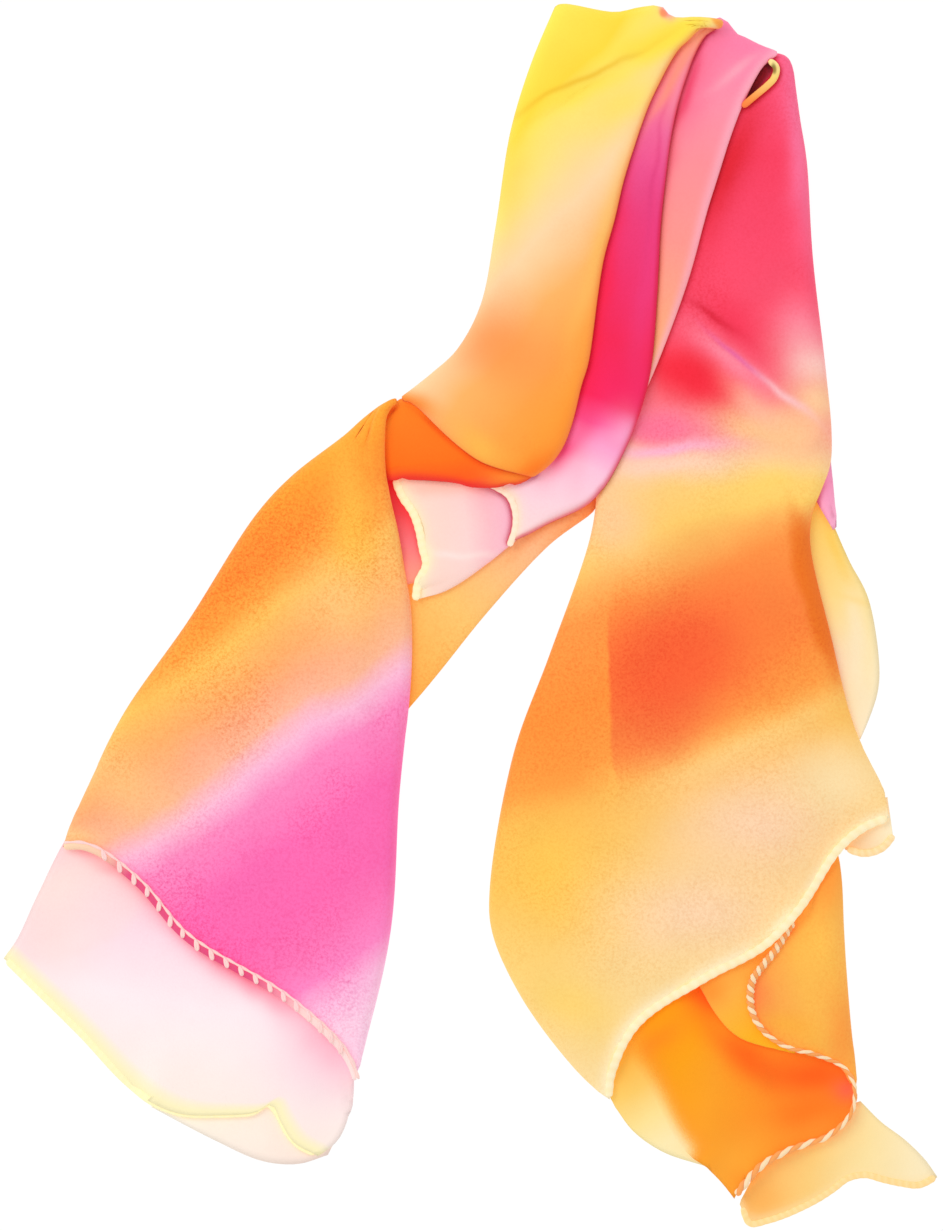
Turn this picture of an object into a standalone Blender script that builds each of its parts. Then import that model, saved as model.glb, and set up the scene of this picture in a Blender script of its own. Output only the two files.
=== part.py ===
"""Chiffon scarf: a square of dip-dyed chiffon with rolled hems, pleated lengthwise into a band, bent
over into an upside-down V and laid flat.

+X runs to the right and +Y up along the surface, +Z points away from it. The origin is the middle of
the underside. Plan positions are millimetres from there. The stretches of cloth are laid one after
another: each rests on what already lies beneath it, with a small gap, and its folded edges round down.
"""
import math
from collections import namedtuple

import bmesh
import bpy
import numpy as np

COLLECTION = "chiffon_scarf"
MM = 0.001

# Driving sizes, in millimetres
WALL = 1.0             # thickness of each stretch of cloth
GAP = 0.3              # clearance between stretches that lie on each other
SLACK = 0.12           # extra clearance for the straight edges of the mesh
HEM_RADIUS = 1.3       # rolled and whip-stitched hem
HEM_CLEAR = 1.1        # from the hem to the sheet that it edges
HEM_STEP = 6.0         # distance between points along a hem
PATH_STEP = 2.4        # the same along a hem that has a path of its own
ROLL = 4.0             # width over which a folded edge rounds down
ROLL_ANGLES = (90.0, 52.0, 20.0)   # degrees down the rounded edge, before its top
FLAT_BAND = 22.0       # a hemmed or tucked edge lifts to the full loft over this width
TENSION = 9            # rounds of smoothing that let the cloth span small steps
FOOT_TENSION = 4       # the same for the foot of a rolled edge
SURFACE = (330.0, 430.0)           # part of the surface that the height map covers
MAP_CELL = 0.5         # size of one cell of the height map
MAP_SPARE = 0.05       # what is laid counts as this much thicker in the height map
REACH = 1.0            # cloth lies clear of all that is this near to it
HEM_REACH = 1.6        # the same for the centre line of a hem
HEM_PRINT = 1.4        # half the width that a hem takes up in the height map
RING_STEP = 14.0       # distance between the sections of a core
END_TAPER = 14.0       # length over which a core's folds open, from each of its ends
CORE_FOOT = 0.7        # how far a core's lowest fold is tucked in under itself
CORE_EDGE = 0.2        # how far the lowest fold's nose lies in from the outline
NOSE = 1.2             # how far the nose of a hidden fold stands out from the one above
NOSE_LEAST = 0.3       # the same where the folds are closed
SET_BACK = 1.9         # how far each hidden fold lies in from the one below
SET_BACK_LEAST = 0.4   # the same where the folds are closed
NOSE_HEIGHT = 0.55     # place of the widest point of a nose, as a share of its height
CROWN = 0.5            # how far the top of a core domes up

# Fineness, in points
ALONG_SPAN = 24        # between two named points of a line
ALONG_EDGE = 160       # along an edge
ALONG_HEM = 400        # along the edges that a hem follows
ALONG_TRIAL = 30       # along a row or a line whose length is measured
ALONG_RING = 40        # along a section whose width is measured
HEM_DISC = 7           # across a hem, where it is added to the height map

# A fold is a straight ridge (or a furrow, where height is negative) with soft flanks
Fold = namedtuple("Fold", "x0 y0 x1 y1 height width")
# A stretch is bounded by four edges. left and right run from start to end, corners included; start and
# end run from left to right between those corners. edges says how left, right, start and end are
# finished; cell is about the size of one mesh cell.
Stretch = namedtuple("Stretch", "name cell left right start end edges loft folds colour")
# A core is the heap of hidden layers under the stretches: a height at each side of each end
Core = namedtuple("Core", "name left right start end heights layers colour")
Height = namedtuple("Height", "at left right")
# A hem runs along one edge, or along two that meet, of the stretches named, from begin to finish. One
# that shows with no sheet of its own has a path instead.
Hem = namedtuple("Hem", "name after along begin finish colour path", defaults=((),))
Along = namedtuple("Along", "stretch edge reverse")

ROLLED, HEMMED, TUCKED, CUT = "rolled", "hemmed", "tucked", "cut"

# Dye colours
YELLOW = (0.96, 0.74, 0.16)
PALE_YELLOW = (0.97, 0.80, 0.46)
ORANGE = (0.98, 0.42, 0.07)
DEEP_ORANGE = (0.98, 0.24, 0.03)
PEACH = (0.97, 0.62, 0.38)
SALMON = (0.97, 0.36, 0.36)
CRIMSON = (0.90, 0.06, 0.14)
MAGENTA = (0.92, 0.10, 0.34)
PALE_PINK = (0.95, 0.72, 0.74)
CREAM = (0.96, 0.86, 0.62)

# The hidden layers, heaped under the visible ones
CORES = [
    Core("core_upper",
         left=[(28, 202), (20, 184), (12, 156), (8, 128), (4, 106), (0, 94), (-7, 86), (-14, 80)],
         right=[(106, 183), (111, 150), (115, 105), (119, 70), (119, 60)],
         start=[(66, 199)],
         end=[(2, 62), (24, 56), (60, 60)],
         heights=[Height(0.0, 4.5, 3.5), Height(0.2, 6.5, 4.5), Height(0.7, 7.0, 4.8),
                  Height(1.0, 4.0, 3.5)],
         layers=3, colour=SALMON),
    Core("core_left",
         left=[(-31, 67), (-52, 52), (-67, 40), (-85, 12), (-107, -20), (-122, -44)],
         right=[(-31, 60), (-38, 30), (-36, -10), (-30, -50), (-29, -80), (-34, -112)],
         start=[],
         end=[(-96, -68), (-62, -96)],
         heights=[Height(0.0, 3.2, 3.2), Height(0.25, 6.0, 5.5), Height(0.7, 5.5, 5.5),
                  Height(1.0, 2.4, 2.4)],
         layers=3, colour=ORANGE),
    Core("core_right",
         left=[(45, 53), (41, 26), (27, -14), (13, -57), (7.5, -92), (8, -104), (13, -116)],
         right=[(109, 56), (105, 30), (109, 0), (116, -34), (112, -48), (104, -60)],
         start=[(80, 57)],
         end=[(44, -108), (78, -94)],
         heights=[Height(0.0, 4.0, 3.5), Height(0.3, 5.5, 4.2), Height(0.7, 6.5, 4.2),
                  Height(1.0, 2.6, 2.4)],
         layers=3, colour=PEACH),
]

# The stretches of cloth, in the order in which they are laid
STRETCHES = [
    Stretch("bottom_flap", 6,
            left=[(104, -170), (96, -184), (89, -197)],
            right=[(130, -162), (137, -169), (145, -175), (152, -182), (157.6, -189.5)],
            start=[],
            end=[(92, -203.8), (103, -202), (118, -195), (129, -188), (141, -190)],
            edges=(TUCKED, CUT, TUCKED, HEMMED), loft=0.0, folds=[], colour=PALE_YELLOW),
    Stretch("right_back_layer", 12,
            left=[(50, -116), (45, -138), (44, -155), (48, -164)],
            right=[(88, -106), (84, -150), (79, -184)],
            start=[],
            end=[(54, -172), (64, -179)],
            edges=(TUCKED, TUCKED, TUCKED, CUT), loft=0.0, folds=[], colour=PALE_YELLOW),
    Stretch("right_back_flap", 10,
            left=[(112, 46), (107, 33), (107, 22), (112, -6), (119, -31), (124, -42)],
            right=[(115.5, 46), (116.8, 40.5), (121.8, 28.8), (126.4, 18.4), (132.6, 6.2), (136.3, -16),
                   (135.8, -25.2), (132.8, -34.5), (130, -41)],
            start=[],
            end=[],
            edges=(TUCKED, CUT, TUCKED, CUT), loft=0.0, folds=[], colour=PALE_YELLOW),
    Stretch("right_back_sliver", 8,
            left=[(113, 60), (112.5, 50), (113.5, 42.5), (117, 35.5), (120.8, 28.8)],
            right=[(120, 58), (121.2, 48), (122, 38.8), (122.5, 29)],
            start=[],
            end=[],
            edges=(TUCKED, CUT, TUCKED, CUT), loft=0.0, folds=[], colour=PALE_PINK),
    Stretch("left_under_layer", 12,
            left=[(-104, -152), (-107, -164)],
            right=[(-48, -150), (-42, -166), (-48, -180)],
            start=[],
            end=[(-86, -175), (-70, -182), (-58, -183)],
            edges=(TUCKED, CUT, TUCKED, CUT), loft=0.0, folds=[], colour=PALE_PINK),
    Stretch("left_back_layer", 8,
            left=[(-119, -56), (-134, -72), (-145, -93), (-152, -108), (-157, -115)],
            right=[(-50, -123), (-42, -140), (-39.5, -158), (-44, -174), (-52, -181)],
            start=[],
            end=[(-144, -127.8), (-130.5, -141.2), (-117.2, -155.5), (-107, -163.5), (-97.2, -167.2),
                 (-84, -167.6), (-72, -166.6), (-67.4, -164), (-64.6, -169.5), (-60, -176.5)],
            edges=(CUT, CUT, TUCKED, HEMMED), loft=0.6,
            folds=[Fold(-116, -106, -150, -118, 0.6, 6)], colour=PALE_PINK),
    Stretch("left_back_strip", 9,
            left=[(30, 51), (14, 42), (-6, 28), (-28, 8), (-33, -24)],
            right=[(46, 46), (43, 37), (26, 23), (5, 0), (-11, -20), (-25, -37)],
            start=[],
            end=[],
            edges=(TUCKED, ROLLED, TUCKED, TUCKED), loft=0.5, folds=[], colour=PEACH),
    Stretch("inner_back_panel", 9,
            left=[(50, -124), (50, -140), (53, -148), (58, -155), (61.5, -161.5), (64.5, -168),
                  (68.5, -175), (74, -181), (78.5, -184), (83.5, -189), (88.5, -195.5)],
            right=[(116, -106), (121, -130), (127, -153), (129, -162)],
            start=[],
            end=[(91, -191), (94.5, -187), (98, -184), (106, -179.5), (111.5, -177.3), (117, -175.5),
                 (122, -173.2), (125.5, -170.5), (128, -167)],
            edges=(TUCKED, CUT, TUCKED, HEMMED), loft=0.8,
            folds=[Fold(66, -130, 84, -182, 1.0, 7), Fold(92, -140, 108, -172, -0.5, 8)],
            colour=DEEP_ORANGE),
    Stretch("inner_fold_panel", 9,
            left=[(64, -108), (76, -124), (80, -131), (84.5, -137), (89.5, -141), (96, -143.5),
                  (107, -146.5)],
            right=[(102, -98), (106, -120), (112, -141)],
            start=[],
            end=[],
            edges=(ROLLED, TUCKED, TUCKED, TUCKED), loft=0.6, folds=[], colour=ORANGE),
    Stretch("inner_front_panel", 6,
            left=[(108, -93), (104, -107.5), (98.8, -112), (95, -116.3), (92.3, -121.5), (91.6, -127),
                  (93, -134), (96, -138.8), (100, -142.5), (105, -144.8), (112, -147), (120, -149)],
            right=[(122, -74), (124, -84), (124.8, -104.5), (125.8, -121), (126.8, -134.5),
                   (127.6, -143)],
            start=[],
            end=[],
            edges=(HEMMED, ROLLED, TUCKED, CUT), loft=1.4,
            folds=[Fold(118, -84, 114, -140, 0.8, 6)], colour=PALE_YELLOW),
    Stretch("corner_curl", 6,
            left=[(121, -66), (125, -79)],
            right=[(140, -60), (142, -74)],
            start=[],
            end=[(132, -80.5), (138, -78.5)],
            edges=(TUCKED, ROLLED, TUCKED, HEMMED), loft=0.0, folds=[], colour=PALE_YELLOW),
    Stretch("left_inner_strip", 10,
            left=[(-35, 50), (-35, 30), (-32, 8)],
            right=[(-8, 50), (-8, 30), (-12, 13)],
            start=[],
            end=[],
            edges=(TUCKED, TUCKED, TUCKED, TUCKED), loft=0.3, folds=[], colour=SALMON),
    Stretch("pale_layer", 7,
            left=[(10, 54), (-10, 52), (-27, 46)],
            right=[(16, 26), (6, 18), (-8, 8.5), (-20, 4)],
            start=[],
            end=[(-24, 39), (-20.5, 33.8), (-18.6, 27.5), (-16.8, 19.5), (-17.6, 14.5), (-19.6, 10.5)],
            edges=(TUCKED, ROLLED, TUCKED, HEMMED), loft=0.8,
            folds=[Fold(-14, 22, 6, 20, 0.5, 4)], colour=PALE_PINK),
    Stretch("right_panel", 10,
            left=[(89, 187), (78, 160), (66, 124), (52, 88), (42, 62), (42, 46), (40, 28), (26, -13),
                  (14, -46), (6, -92), (7, -106), (17, -128), (34, -151), (47, -163)],
            right=[(103, 188.3), (105.5, 186.9), (107.2, 183.5), (108.4, 176), (109.8, 166), (112, 152),
                   (114, 120), (119, 78), (120, 56), (114, 36), (113, 24), (120, -6), (128, -37),
                   (138, -58), (140.5, -68)],
            start=[],
            end=[(48, -153), (56, -137), (78, -122), (98, -111), (112, -96), (123, -79), (131, -72)],
            edges=(ROLLED, ROLLED, ROLLED, HEMMED), loft=1.6,
            folds=[Fold(76, 102, 116, 66, 1.4, 7), Fold(50, 40, 100, 80, 0.8, 9),
                   Fold(30, -20, 44, -120, 0.9, 10), Fold(96, 10, 112, -60, 0.8, 7),
                   Fold(70, 40, 72, -60, -0.6, 12)],
            colour=PEACH),
    Stretch("salmon_band", 9,
            left=[(78, 199), (68, 184), (58, 160), (54, 130), (50, 100), (46, 72)],
            right=[(104, 187.8), (98, 183.8), (95, 179.5), (92, 173.5), (89.5, 167.8), (86.2, 158.8),
                   (82, 145.5), (79, 136), (72, 111), (62, 84), (54, 66)],
            start=[(84, 199.6), (86.2, 197.4), (88.5, 194), (91, 192.8), (97, 189.8)],
            end=[],
            edges=(TUCKED, ROLLED, ROLLED, TUCKED), loft=1.0, folds=[], colour=SALMON),
    Stretch("magenta_band", 8,
            left=[(73, 196.5), (58, 180), (45, 150), (36, 118), (29, 84), (18, 58), (0, 45)],
            right=[(83, 195.6), (80, 194.4), (77.5, 192.2), (74.5, 187), (71.5, 179), (68.5, 169),
                   (66.3, 158), (64.8, 146), (63, 128), (62, 108), (59, 78), (51, 55), (41, 39), (24, 30),
                   (9.8, 21.8)],
            start=[(79, 198.2)],
            end=[(8.8, 41.2), (11.8, 38.8), (13.2, 34.8), (13, 28.8), (11.5, 24.5)],
            edges=(TUCKED, ROLLED, TUCKED, HEMMED), loft=0.9,
            folds=[Fold(60, 168, 54, 90, -0.8, 5)], colour=MAGENTA),
    Stretch("turn_valley", 7,
            left=[(-27, 70.2), (-33, 58), (-33, 43.5)],
            right=[(26, 57), (21.5, 47.5)],
            start=[(-22.5, 73), (-14, 71), (8, 60)],
            end=[(-26, 44.8), (-20, 45.4), (-10, 45), (-4, 44.2), (-0.5, 43), (6, 42.7), (12.8, 43.4),
                 (17.8, 44.9)],
            edges=(TUCKED, TUCKED, TUCKED, ROLLED), loft=0.8, folds=[], colour=DEEP_ORANGE),
    Stretch("front_fall", 9.5,
            left=[(28, 204), (20, 185), (13, 162), (8, 130), (3, 104), (-5, 89), (-13, 81.5), (-20, 76),
                  (-29, 69.5)],
            right=[(84, 199.3), (81.5, 196.3), (76, 196), (72.5, 193), (69, 189.5), (66, 185), (62, 177),
                   (58, 168), (54.5, 157), (51, 145.5), (47.8, 132), (44, 118), (39, 84), (36.8, 77),
                   (34, 66), (29.5, 56), (27.3, 52), (20.5, 46.3)],
            start=[(31, 204.5), (48, 201.7), (56, 203.3), (62.5, 203.8), (66, 202.2), (67.5, 200.2),
                   (75, 199.6)],
            end=[(-26, 70.4), (-22, 71.8), (-18.5, 70), (-14.5, 66.2), (-10.5, 62.2), (-3.9, 56.2),
                 (2.8, 51.5), (9.5, 49), (15, 47.6)],
            edges=(ROLLED, ROLLED, ROLLED, ROLLED), loft=1.6,
            folds=[Fold(20, 164, 68, 196, -0.9, 5), Fold(28, 150, 18, 84, 0.9, 9)],
            colour=YELLOW),
    Stretch("left_panel", 8.5,
            left=[(-31.5, 70), (-37, 65.6), (-42, 61), (-60, 47), (-72, 34), (-95, -2), (-116, -32),
                  (-128, -56), (-138, -78)],
            right=[(-23, 72.2), (-26.3, 70), (-28.1, 67), (-28.8, 59), (-28.6, 50), (-27.2, 40.5),
                   (-24.5, 28.8), (-22.2, 15.5), (-20.2, 3), (-20, -18), (-24, -60), (-27, -106),
                   (-39, -158)],
            start=[(-28.8, 71.6), (-25.5, 72.9)],
            end=[(-128, -78.5), (-112, -90), (-96, -108), (-62, -129), (-44, -146)],
            edges=(ROLLED, ROLLED, ROLLED, HEMMED), loft=1.8,
            folds=[Fold(-50, 40, -96, -50, 1.0, 9), Fold(-38, 30, -44, -110, 0.9, 8),
                   Fold(-80, 0, -60, -90, -0.6, 12)],
            colour=ORANGE),
]

HEMS = [
    Hem("hem_bottom_flap", "bottom_flap", [Along("bottom_flap", "end", False)], 0.02, 0.99, CREAM),
    Hem("hem_left_back", "left_back_layer", [Along("left_back_layer", "end", False)],
        0.01, 0.99, CREAM),
    Hem("hem_inner", "inner_front_panel", [Along("inner_front_panel", "left", False),
                                           Along("inner_back_panel", "end", True)],
        0.06, 0.99, CREAM),
    Hem("hem_pale_layer", "pale_layer", [Along("pale_layer", "end", False)], 0.02, 0.98, CREAM),
    Hem("hem_corner_curl", "corner_curl", [Along("corner_curl", "end", False)], 0.04, 0.98, CREAM),
    Hem("hem_right_panel", "right_panel", [Along("right_panel", "end", False)], 0.01, 0.99, CREAM),
    Hem("hem_fold_loop", "salmon_band", [], 0.0, 1.0, YELLOW,
        path=((101.6, 183.9), (101.8, 181.2), (100.6, 178.5), (98, 175.6), (95, 172.9),
              (92.4, 170))),
    Hem("hem_magenta_band", "magenta_band", [Along("magenta_band", "end", False)],
        0.03, 0.98, CREAM),
    Hem("hem_left_panel", "left_panel", [Along("left_panel", "end", False)], 0.01, 0.99, CREAM),
]


def clear_scene():
    for obj in list(bpy.data.objects):
        bpy.data.objects.remove(obj, do_unlink=True)
    collection = bpy.data.collections.new(COLLECTION)
    bpy.context.scene.collection.children.link(collection)
    return collection


def material(name, colour):
    """Matt cloth in one dye colour."""
    made = bpy.data.materials.new(name)
    made.use_nodes = True
    shader = made.node_tree.nodes["Principled BSDF"]
    shader.inputs["Base Color"].default_value = (*colour, 1.0)
    shader.inputs["Roughness"].default_value = 0.85
    shader.inputs["Metallic"].default_value = 0.0
    return made


def add_object(collection, name, data, colour):
    obj = bpy.data.objects.new(name, data)
    obj.data.materials.append(material(name, colour))
    collection.objects.link(obj)
    return obj


# Plan curves and patches

def smooth_curve(points, samples=ALONG_EDGE):
    """A curve through the points (chord-length Catmull-Rom), resampled at even distances."""
    points = np.asarray(points, float)
    if len(points) == 2:
        t = np.linspace(0.0, 1.0, samples)[:, None]
        return points[0] * (1.0 - t) + points[1] * t
    before = 2.0 * points[0] - points[1]
    after = 2.0 * points[-1] - points[-2]
    p = np.vstack([before, points, after])
    knots = np.concatenate([[0.0], np.cumsum(np.sqrt(np.linalg.norm(np.diff(p, axis=0), axis=1)))])
    pieces = []
    for i in range(1, len(p) - 2):
        t = np.linspace(knots[i], knots[i + 1], ALONG_SPAN)[:, None]
        k0, k1, k2, k3 = knots[i - 1:i + 3]
        a1 = (k1 - t) / (k1 - k0) * p[i - 1] + (t - k0) / (k1 - k0) * p[i]
        a2 = (k2 - t) / (k2 - k1) * p[i] + (t - k1) / (k2 - k1) * p[i + 1]
        a3 = (k3 - t) / (k3 - k2) * p[i + 1] + (t - k2) / (k3 - k2) * p[i + 2]
        b1 = (k2 - t) / (k2 - k0) * a1 + (t - k0) / (k2 - k0) * a2
        b2 = (k3 - t) / (k3 - k1) * a2 + (t - k1) / (k3 - k1) * a3
        pieces.append((k2 - t) / (k2 - k1) * b1 + (t - k1) / (k2 - k1) * b2)
    return even_steps(np.vstack(pieces), samples)


def even_steps(line, samples):
    """The same line with its points at even distances."""
    reach = np.concatenate([[0.0], np.cumsum(np.linalg.norm(np.diff(line, axis=0), axis=1))])
    wanted = np.linspace(0.0, reach[-1], samples)
    return np.stack([np.interp(wanted, reach, line[:, k]) for k in range(line.shape[1])], axis=1)


def length(line):
    return float(np.linalg.norm(np.diff(line, axis=0), axis=1).sum())


def inward(line, centre):
    """Unit normals of a plan line, pointing to the side where centre lies."""
    along = np.gradient(line, axis=0)
    normal = np.stack([-along[:, 1], along[:, 0]], axis=1)
    normal /= np.linalg.norm(normal, axis=1)[:, None]
    side = np.sign(np.sum(normal * (centre - line)))
    return normal * side


class Patch:
    """The plan of a stretch: a surface blended between four edge curves (a Coons patch)."""

    def __init__(self, shape, insets=(0.0, 0.0, 0.0, 0.0)):
        left = smooth_curve(shape.left)
        right = smooth_curve(shape.right)
        start = smooth_curve([shape.left[0], *shape.start, shape.right[0]])
        end = smooth_curve([shape.left[-1], *shape.end, shape.right[-1]])
        self.edges = self.moved_in([left, right, start, end], insets)

    @staticmethod
    def moved_in(lines, insets):
        """Each edge moved in by its own inset, and cut back to where it meets its neighbours."""
        centre = np.mean(np.vstack(lines), axis=0)
        left, right, start, end = [line + inward(line, centre) * inset
                                   for line, inset in zip(lines, insets)]
        left, start = cut_to_meet(left, start)
        right, start = cut_to_meet(right, start[::-1])
        left, end = cut_to_meet(left[::-1], end)
        right, end = cut_to_meet(right[::-1], end[::-1])
        return [even_steps(line, ALONG_EDGE)
                for line in (left[::-1], right[::-1], start[::-1], end[::-1])]

    def at(self, u, v):
        """Plan points for arrays u (across, 0 at left) and v (along, 0 at start)."""
        left, right, start, end = self.edges
        a, b = sample(left, v), sample(right, v)
        c, d = sample(start, u), sample(end, u)
        u, v = u[..., None], v[..., None]
        corners = ((1 - u) * (1 - v) * left[0] + u * (1 - v) * right[0]
                   + (1 - u) * v * left[-1] + u * v * right[-1])
        return (1 - u) * a + u * b + (1 - v) * c + v * d - corners


def sample(line, t):
    steps = np.linspace(0.0, 1.0, len(line))
    return np.stack([np.interp(t, steps, line[:, 0]), np.interp(t, steps, line[:, 1])], axis=-1)


def cut_to_meet(one, other):
    """Two lines that leave one corner, both cut back to where they come closest near it."""
    a, b = one[:len(one) * 2 // 5], other[:len(other) * 2 // 5]
    apart = np.linalg.norm(a[:, None] - b[None, :], axis=-1)
    apart += 1e-4 * (np.arange(len(a))[:, None] + np.arange(len(b))[None, :])
    i, j = np.unravel_index(apart.argmin(), apart.shape)
    corner = (a[i] + b[j]) / 2
    return np.vstack([corner, one[i + 1:]]), np.vstack([corner, other[j + 1:]])


# The height map

class Bed:
    """Height of all that has been laid so far, over a fine grid on the surface."""

    def __init__(self):
        self.low = np.array([-SURFACE[0] / 2, -SURFACE[1] / 2])
        self.top = np.zeros([round(side / MAP_CELL) + 1 for side in SURFACE])
        self.widened = {}

    def raise_to(self, points):
        i, j = self.cells(points)
        np.maximum.at(self.top, (i, j), points[..., 2])
        self.widened = {}

    def cells(self, points):
        ij = np.rint((points[..., :2] - self.low) / MAP_CELL).astype(int)
        return ij[..., 0], ij[..., 1]

    def rest(self, points, reach=REACH):
        """Lowest height for cloth at the points: the surface itself, or just above what lies there."""
        if reach not in self.widened:
            self.widened[reach] = self.highest_within(reach)
        found = self.widened[reach][self.cells(points)]
        return np.where(found > 0.0, found + GAP + SLACK, 0.0)

    def highest_within(self, reach):
        highest = self.top.copy()
        steps = math.ceil(reach / MAP_CELL)
        for di in range(-steps, steps + 1):
            for dj in range(-steps, steps + 1):
                if math.hypot(di, dj) * MAP_CELL <= reach:
                    highest = np.maximum(highest, np.roll(self.top, (di, dj), (0, 1)))
        return highest


def quad_samples(grid, steps):
    """Points spread over each cell of a grid, with both heights that its two diagonals give."""
    a, b, c, d = grid[:-1, :-1], grid[1:, :-1], grid[1:, 1:], grid[:-1, 1:]
    for s in np.linspace(0.0, 1.0, steps):
        for t in np.linspace(0.0, 1.0, steps):
            weights = [(1 - s) * (1 - t), s * (1 - t), s * t, (1 - s) * t]
            flat = weights[0] * a + weights[1] * b + weights[2] * c + weights[3] * d
            if s + t <= 1.0:
                one = a + s * (b - a) + t * (d - a)
            else:
                one = c + (1 - s) * (d - c) + (1 - t) * (b - c)
            if s >= t:
                two = a + s * (b - a) + t * (c - b)
            else:
                two = a + t * (d - a) + s * (c - d)
            yield weights, flat, one[..., 2], two[..., 2]


def settle(grid, bed, rounds=14, steps=9):
    """Lift the grid where, between its points, it would dip into what lies beneath."""
    for turn in range(rounds):
        lift = np.zeros(grid.shape[:2])
        for weights, flat, one, two in quad_samples(grid, steps):
            short = bed.rest(flat) - np.minimum(one, two)
            short = np.maximum(short, 0.0)
            norm = sum(w * w for w in weights) if turn < rounds - 3 else max(weights)
            for weight, part in zip(weights, (np.s_[:-1, :-1], np.s_[1:, :-1], np.s_[1:, 1:],
                                              np.s_[:-1, 1:])):
                lift[part] = np.maximum(lift[part], short * min(1.0, weight / norm))
        if lift.max() < 0.001:
            break
        grid[..., 2] += lift
    return grid


def grid_normals(grid):
    return np.cross(np.gradient(grid, axis=0), np.gradient(grid, axis=1))


def upward_sign(grid):
    """1 where the grid's own normals point up, -1 where they point down."""
    return np.sign(grid_normals(grid)[..., 2].sum())


def unit_normals(grid):
    normal = grid_normals(grid)
    return normal / np.linalg.norm(normal, axis=-1)[..., None] * upward_sign(grid)


def press_into(bed, grid, steps=24):
    """Add a surface to the height map."""
    for _, flat, one, two in quad_samples(grid, steps):
        flat = flat.copy()
        flat[..., 2] = np.maximum(one, two)
        bed.raise_to(flat)


# Sheets of cloth

def stations(size, first, last, cell):
    """Positions over a size, from 0 to 1, with closer ones at each rolled edge, and how far the
    rounded edge has risen at each (0 at its foot, 1 on top)."""
    roll = min(ROLL, 0.3 * size) / size
    angles = [math.radians(a) for a in ROLL_ANGLES]
    foot = [(roll * (1 - math.sin(a)), math.cos(a)) for a in angles]
    begin = foot if first == ROLLED else []
    finish = foot if last == ROLLED else []
    low = roll if first == ROLLED else 0.0
    high = 1.0 - (roll if last == ROLLED else 0.0)
    count = max(3, round(size * (high - low) / cell) + 1)
    middle = [(low + (high - low) * k / (count - 1), 1.0) for k in range(count)]
    closing = [(1.0 - at, rise) for at, rise in reversed(finish)]
    return np.array(begin + middle + closing)


def refit(nominal, size, own):
    """Stations for a row that is longer or shorter than the average, its rolls kept at full width."""
    at, rise = nominal[:, 0], nominal[:, 1]
    inner = rise >= 1.0
    low, high = at[inner][0], at[inner][-1]
    grow = size / own
    low_own, high_own = min(low * grow, 0.3), 1.0 - min((1.0 - high) * grow, 0.3)
    fitted = low_own + (at - low) / (high - low) * (high_own - low_own)
    fitted[at < low] = at[at < low] / max(low, 1e-9) * low_own
    fitted[at > high] = 1.0 - (1.0 - at[at > high]) / max(1.0 - high, 1e-9) * (1.0 - high_own)
    return fitted


def plan_grid(patch, edges, cell):
    """Plan points of a stretch, and how far its rolled edges have risen at each of them."""
    left, right, start, end = patch.edges
    width = np.mean(np.linalg.norm(right - left, axis=1))
    run = np.mean([length(left), length(right)])
    across = stations(width, edges[0], edges[1], cell)
    along = stations(run, edges[2], edges[3], cell)
    u = np.zeros((len(across), len(along)))
    v = np.zeros_like(u)
    for j, at in enumerate(along[:, 0]):
        line = patch.at(np.linspace(0, 1, ALONG_TRIAL), np.full(ALONG_TRIAL, at))
        u[:, j] = refit(across, width, length(line))
    for i, at in enumerate(across[:, 0]):
        line = patch.at(np.full(ALONG_TRIAL, at), np.linspace(0, 1, ALONG_TRIAL))
        v[i] = refit(along, run, length(line))
    rise = across[:, 1][:, None] * along[:, 1][None, :]
    return patch.at(u, v), rise, u * width, (1 - u) * width, v * run, (1 - v) * run


def fold_height(plan, folds):
    """Sum of the soft ridges and furrows at each plan point."""
    total = np.zeros(plan.shape[:-1])
    for fold in folds:
        start, end = np.array([fold.x0, fold.y0]), np.array([fold.x1, fold.y1])
        along = end - start
        t = np.clip(((plan - start) @ along) / (along @ along), 0.0, 1.0)
        away = np.linalg.norm(plan - (start + t[..., None] * along), axis=-1)
        total += fold.height * np.exp(-(away / fold.width) ** 2)
    return total


def loft_window(edges, distances):
    """1 inside the stretch, easing to 0 at edges that lie flat."""
    window = np.ones(distances[0].shape)
    for finish, distance in zip(edges, distances):
        if finish != ROLLED:
            t = np.clip(distance / FLAT_BAND, 0.0, 1.0)
            window *= t * t * (3 - 2 * t)
    return window


def spanned(ground, edges, rounds):
    """Cloth pulled over uneven ground: smoothed, but nowhere below it, and down on it at flat edges."""
    height = ground.copy()
    for _ in range(rounds):
        spread = np.pad(height, 1, mode="edge")
        mean = (spread[:-2, 1:-1] + spread[2:, 1:-1] + spread[1:-1, :-2] + spread[1:-1, 2:]) / 4
        height = np.maximum(ground, mean)
        for finish, part in zip(edges, (np.s_[0], np.s_[-1], np.s_[:, 0], np.s_[:, -1])):
            if finish != ROLLED:
                height[part] = ground[part]
    return height


def stretch_grid(stretch, bed):
    """The underside of a stretch, draped over what already lies there."""
    insets = [{ROLLED: WALL, HEMMED: 2 * HEM_RADIUS + HEM_CLEAR}.get(e, 0.0) for e in stretch.edges]
    plan, rise, *distances = plan_grid(Patch(stretch, insets), stretch.edges, stretch.cell)
    ground = bed.rest(plan)
    foot = spanned(ground, stretch.edges, FOOT_TENSION)
    height = spanned(foot, stretch.edges, TENSION)
    window = loft_window(stretch.edges, distances)
    height += window * (stretch.loft + fold_height(plan, stretch.folds))
    height = foot + np.maximum(height - foot, 0.0) * rise
    grid = np.dstack([plan, height])
    return settle(grid, bed)


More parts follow.
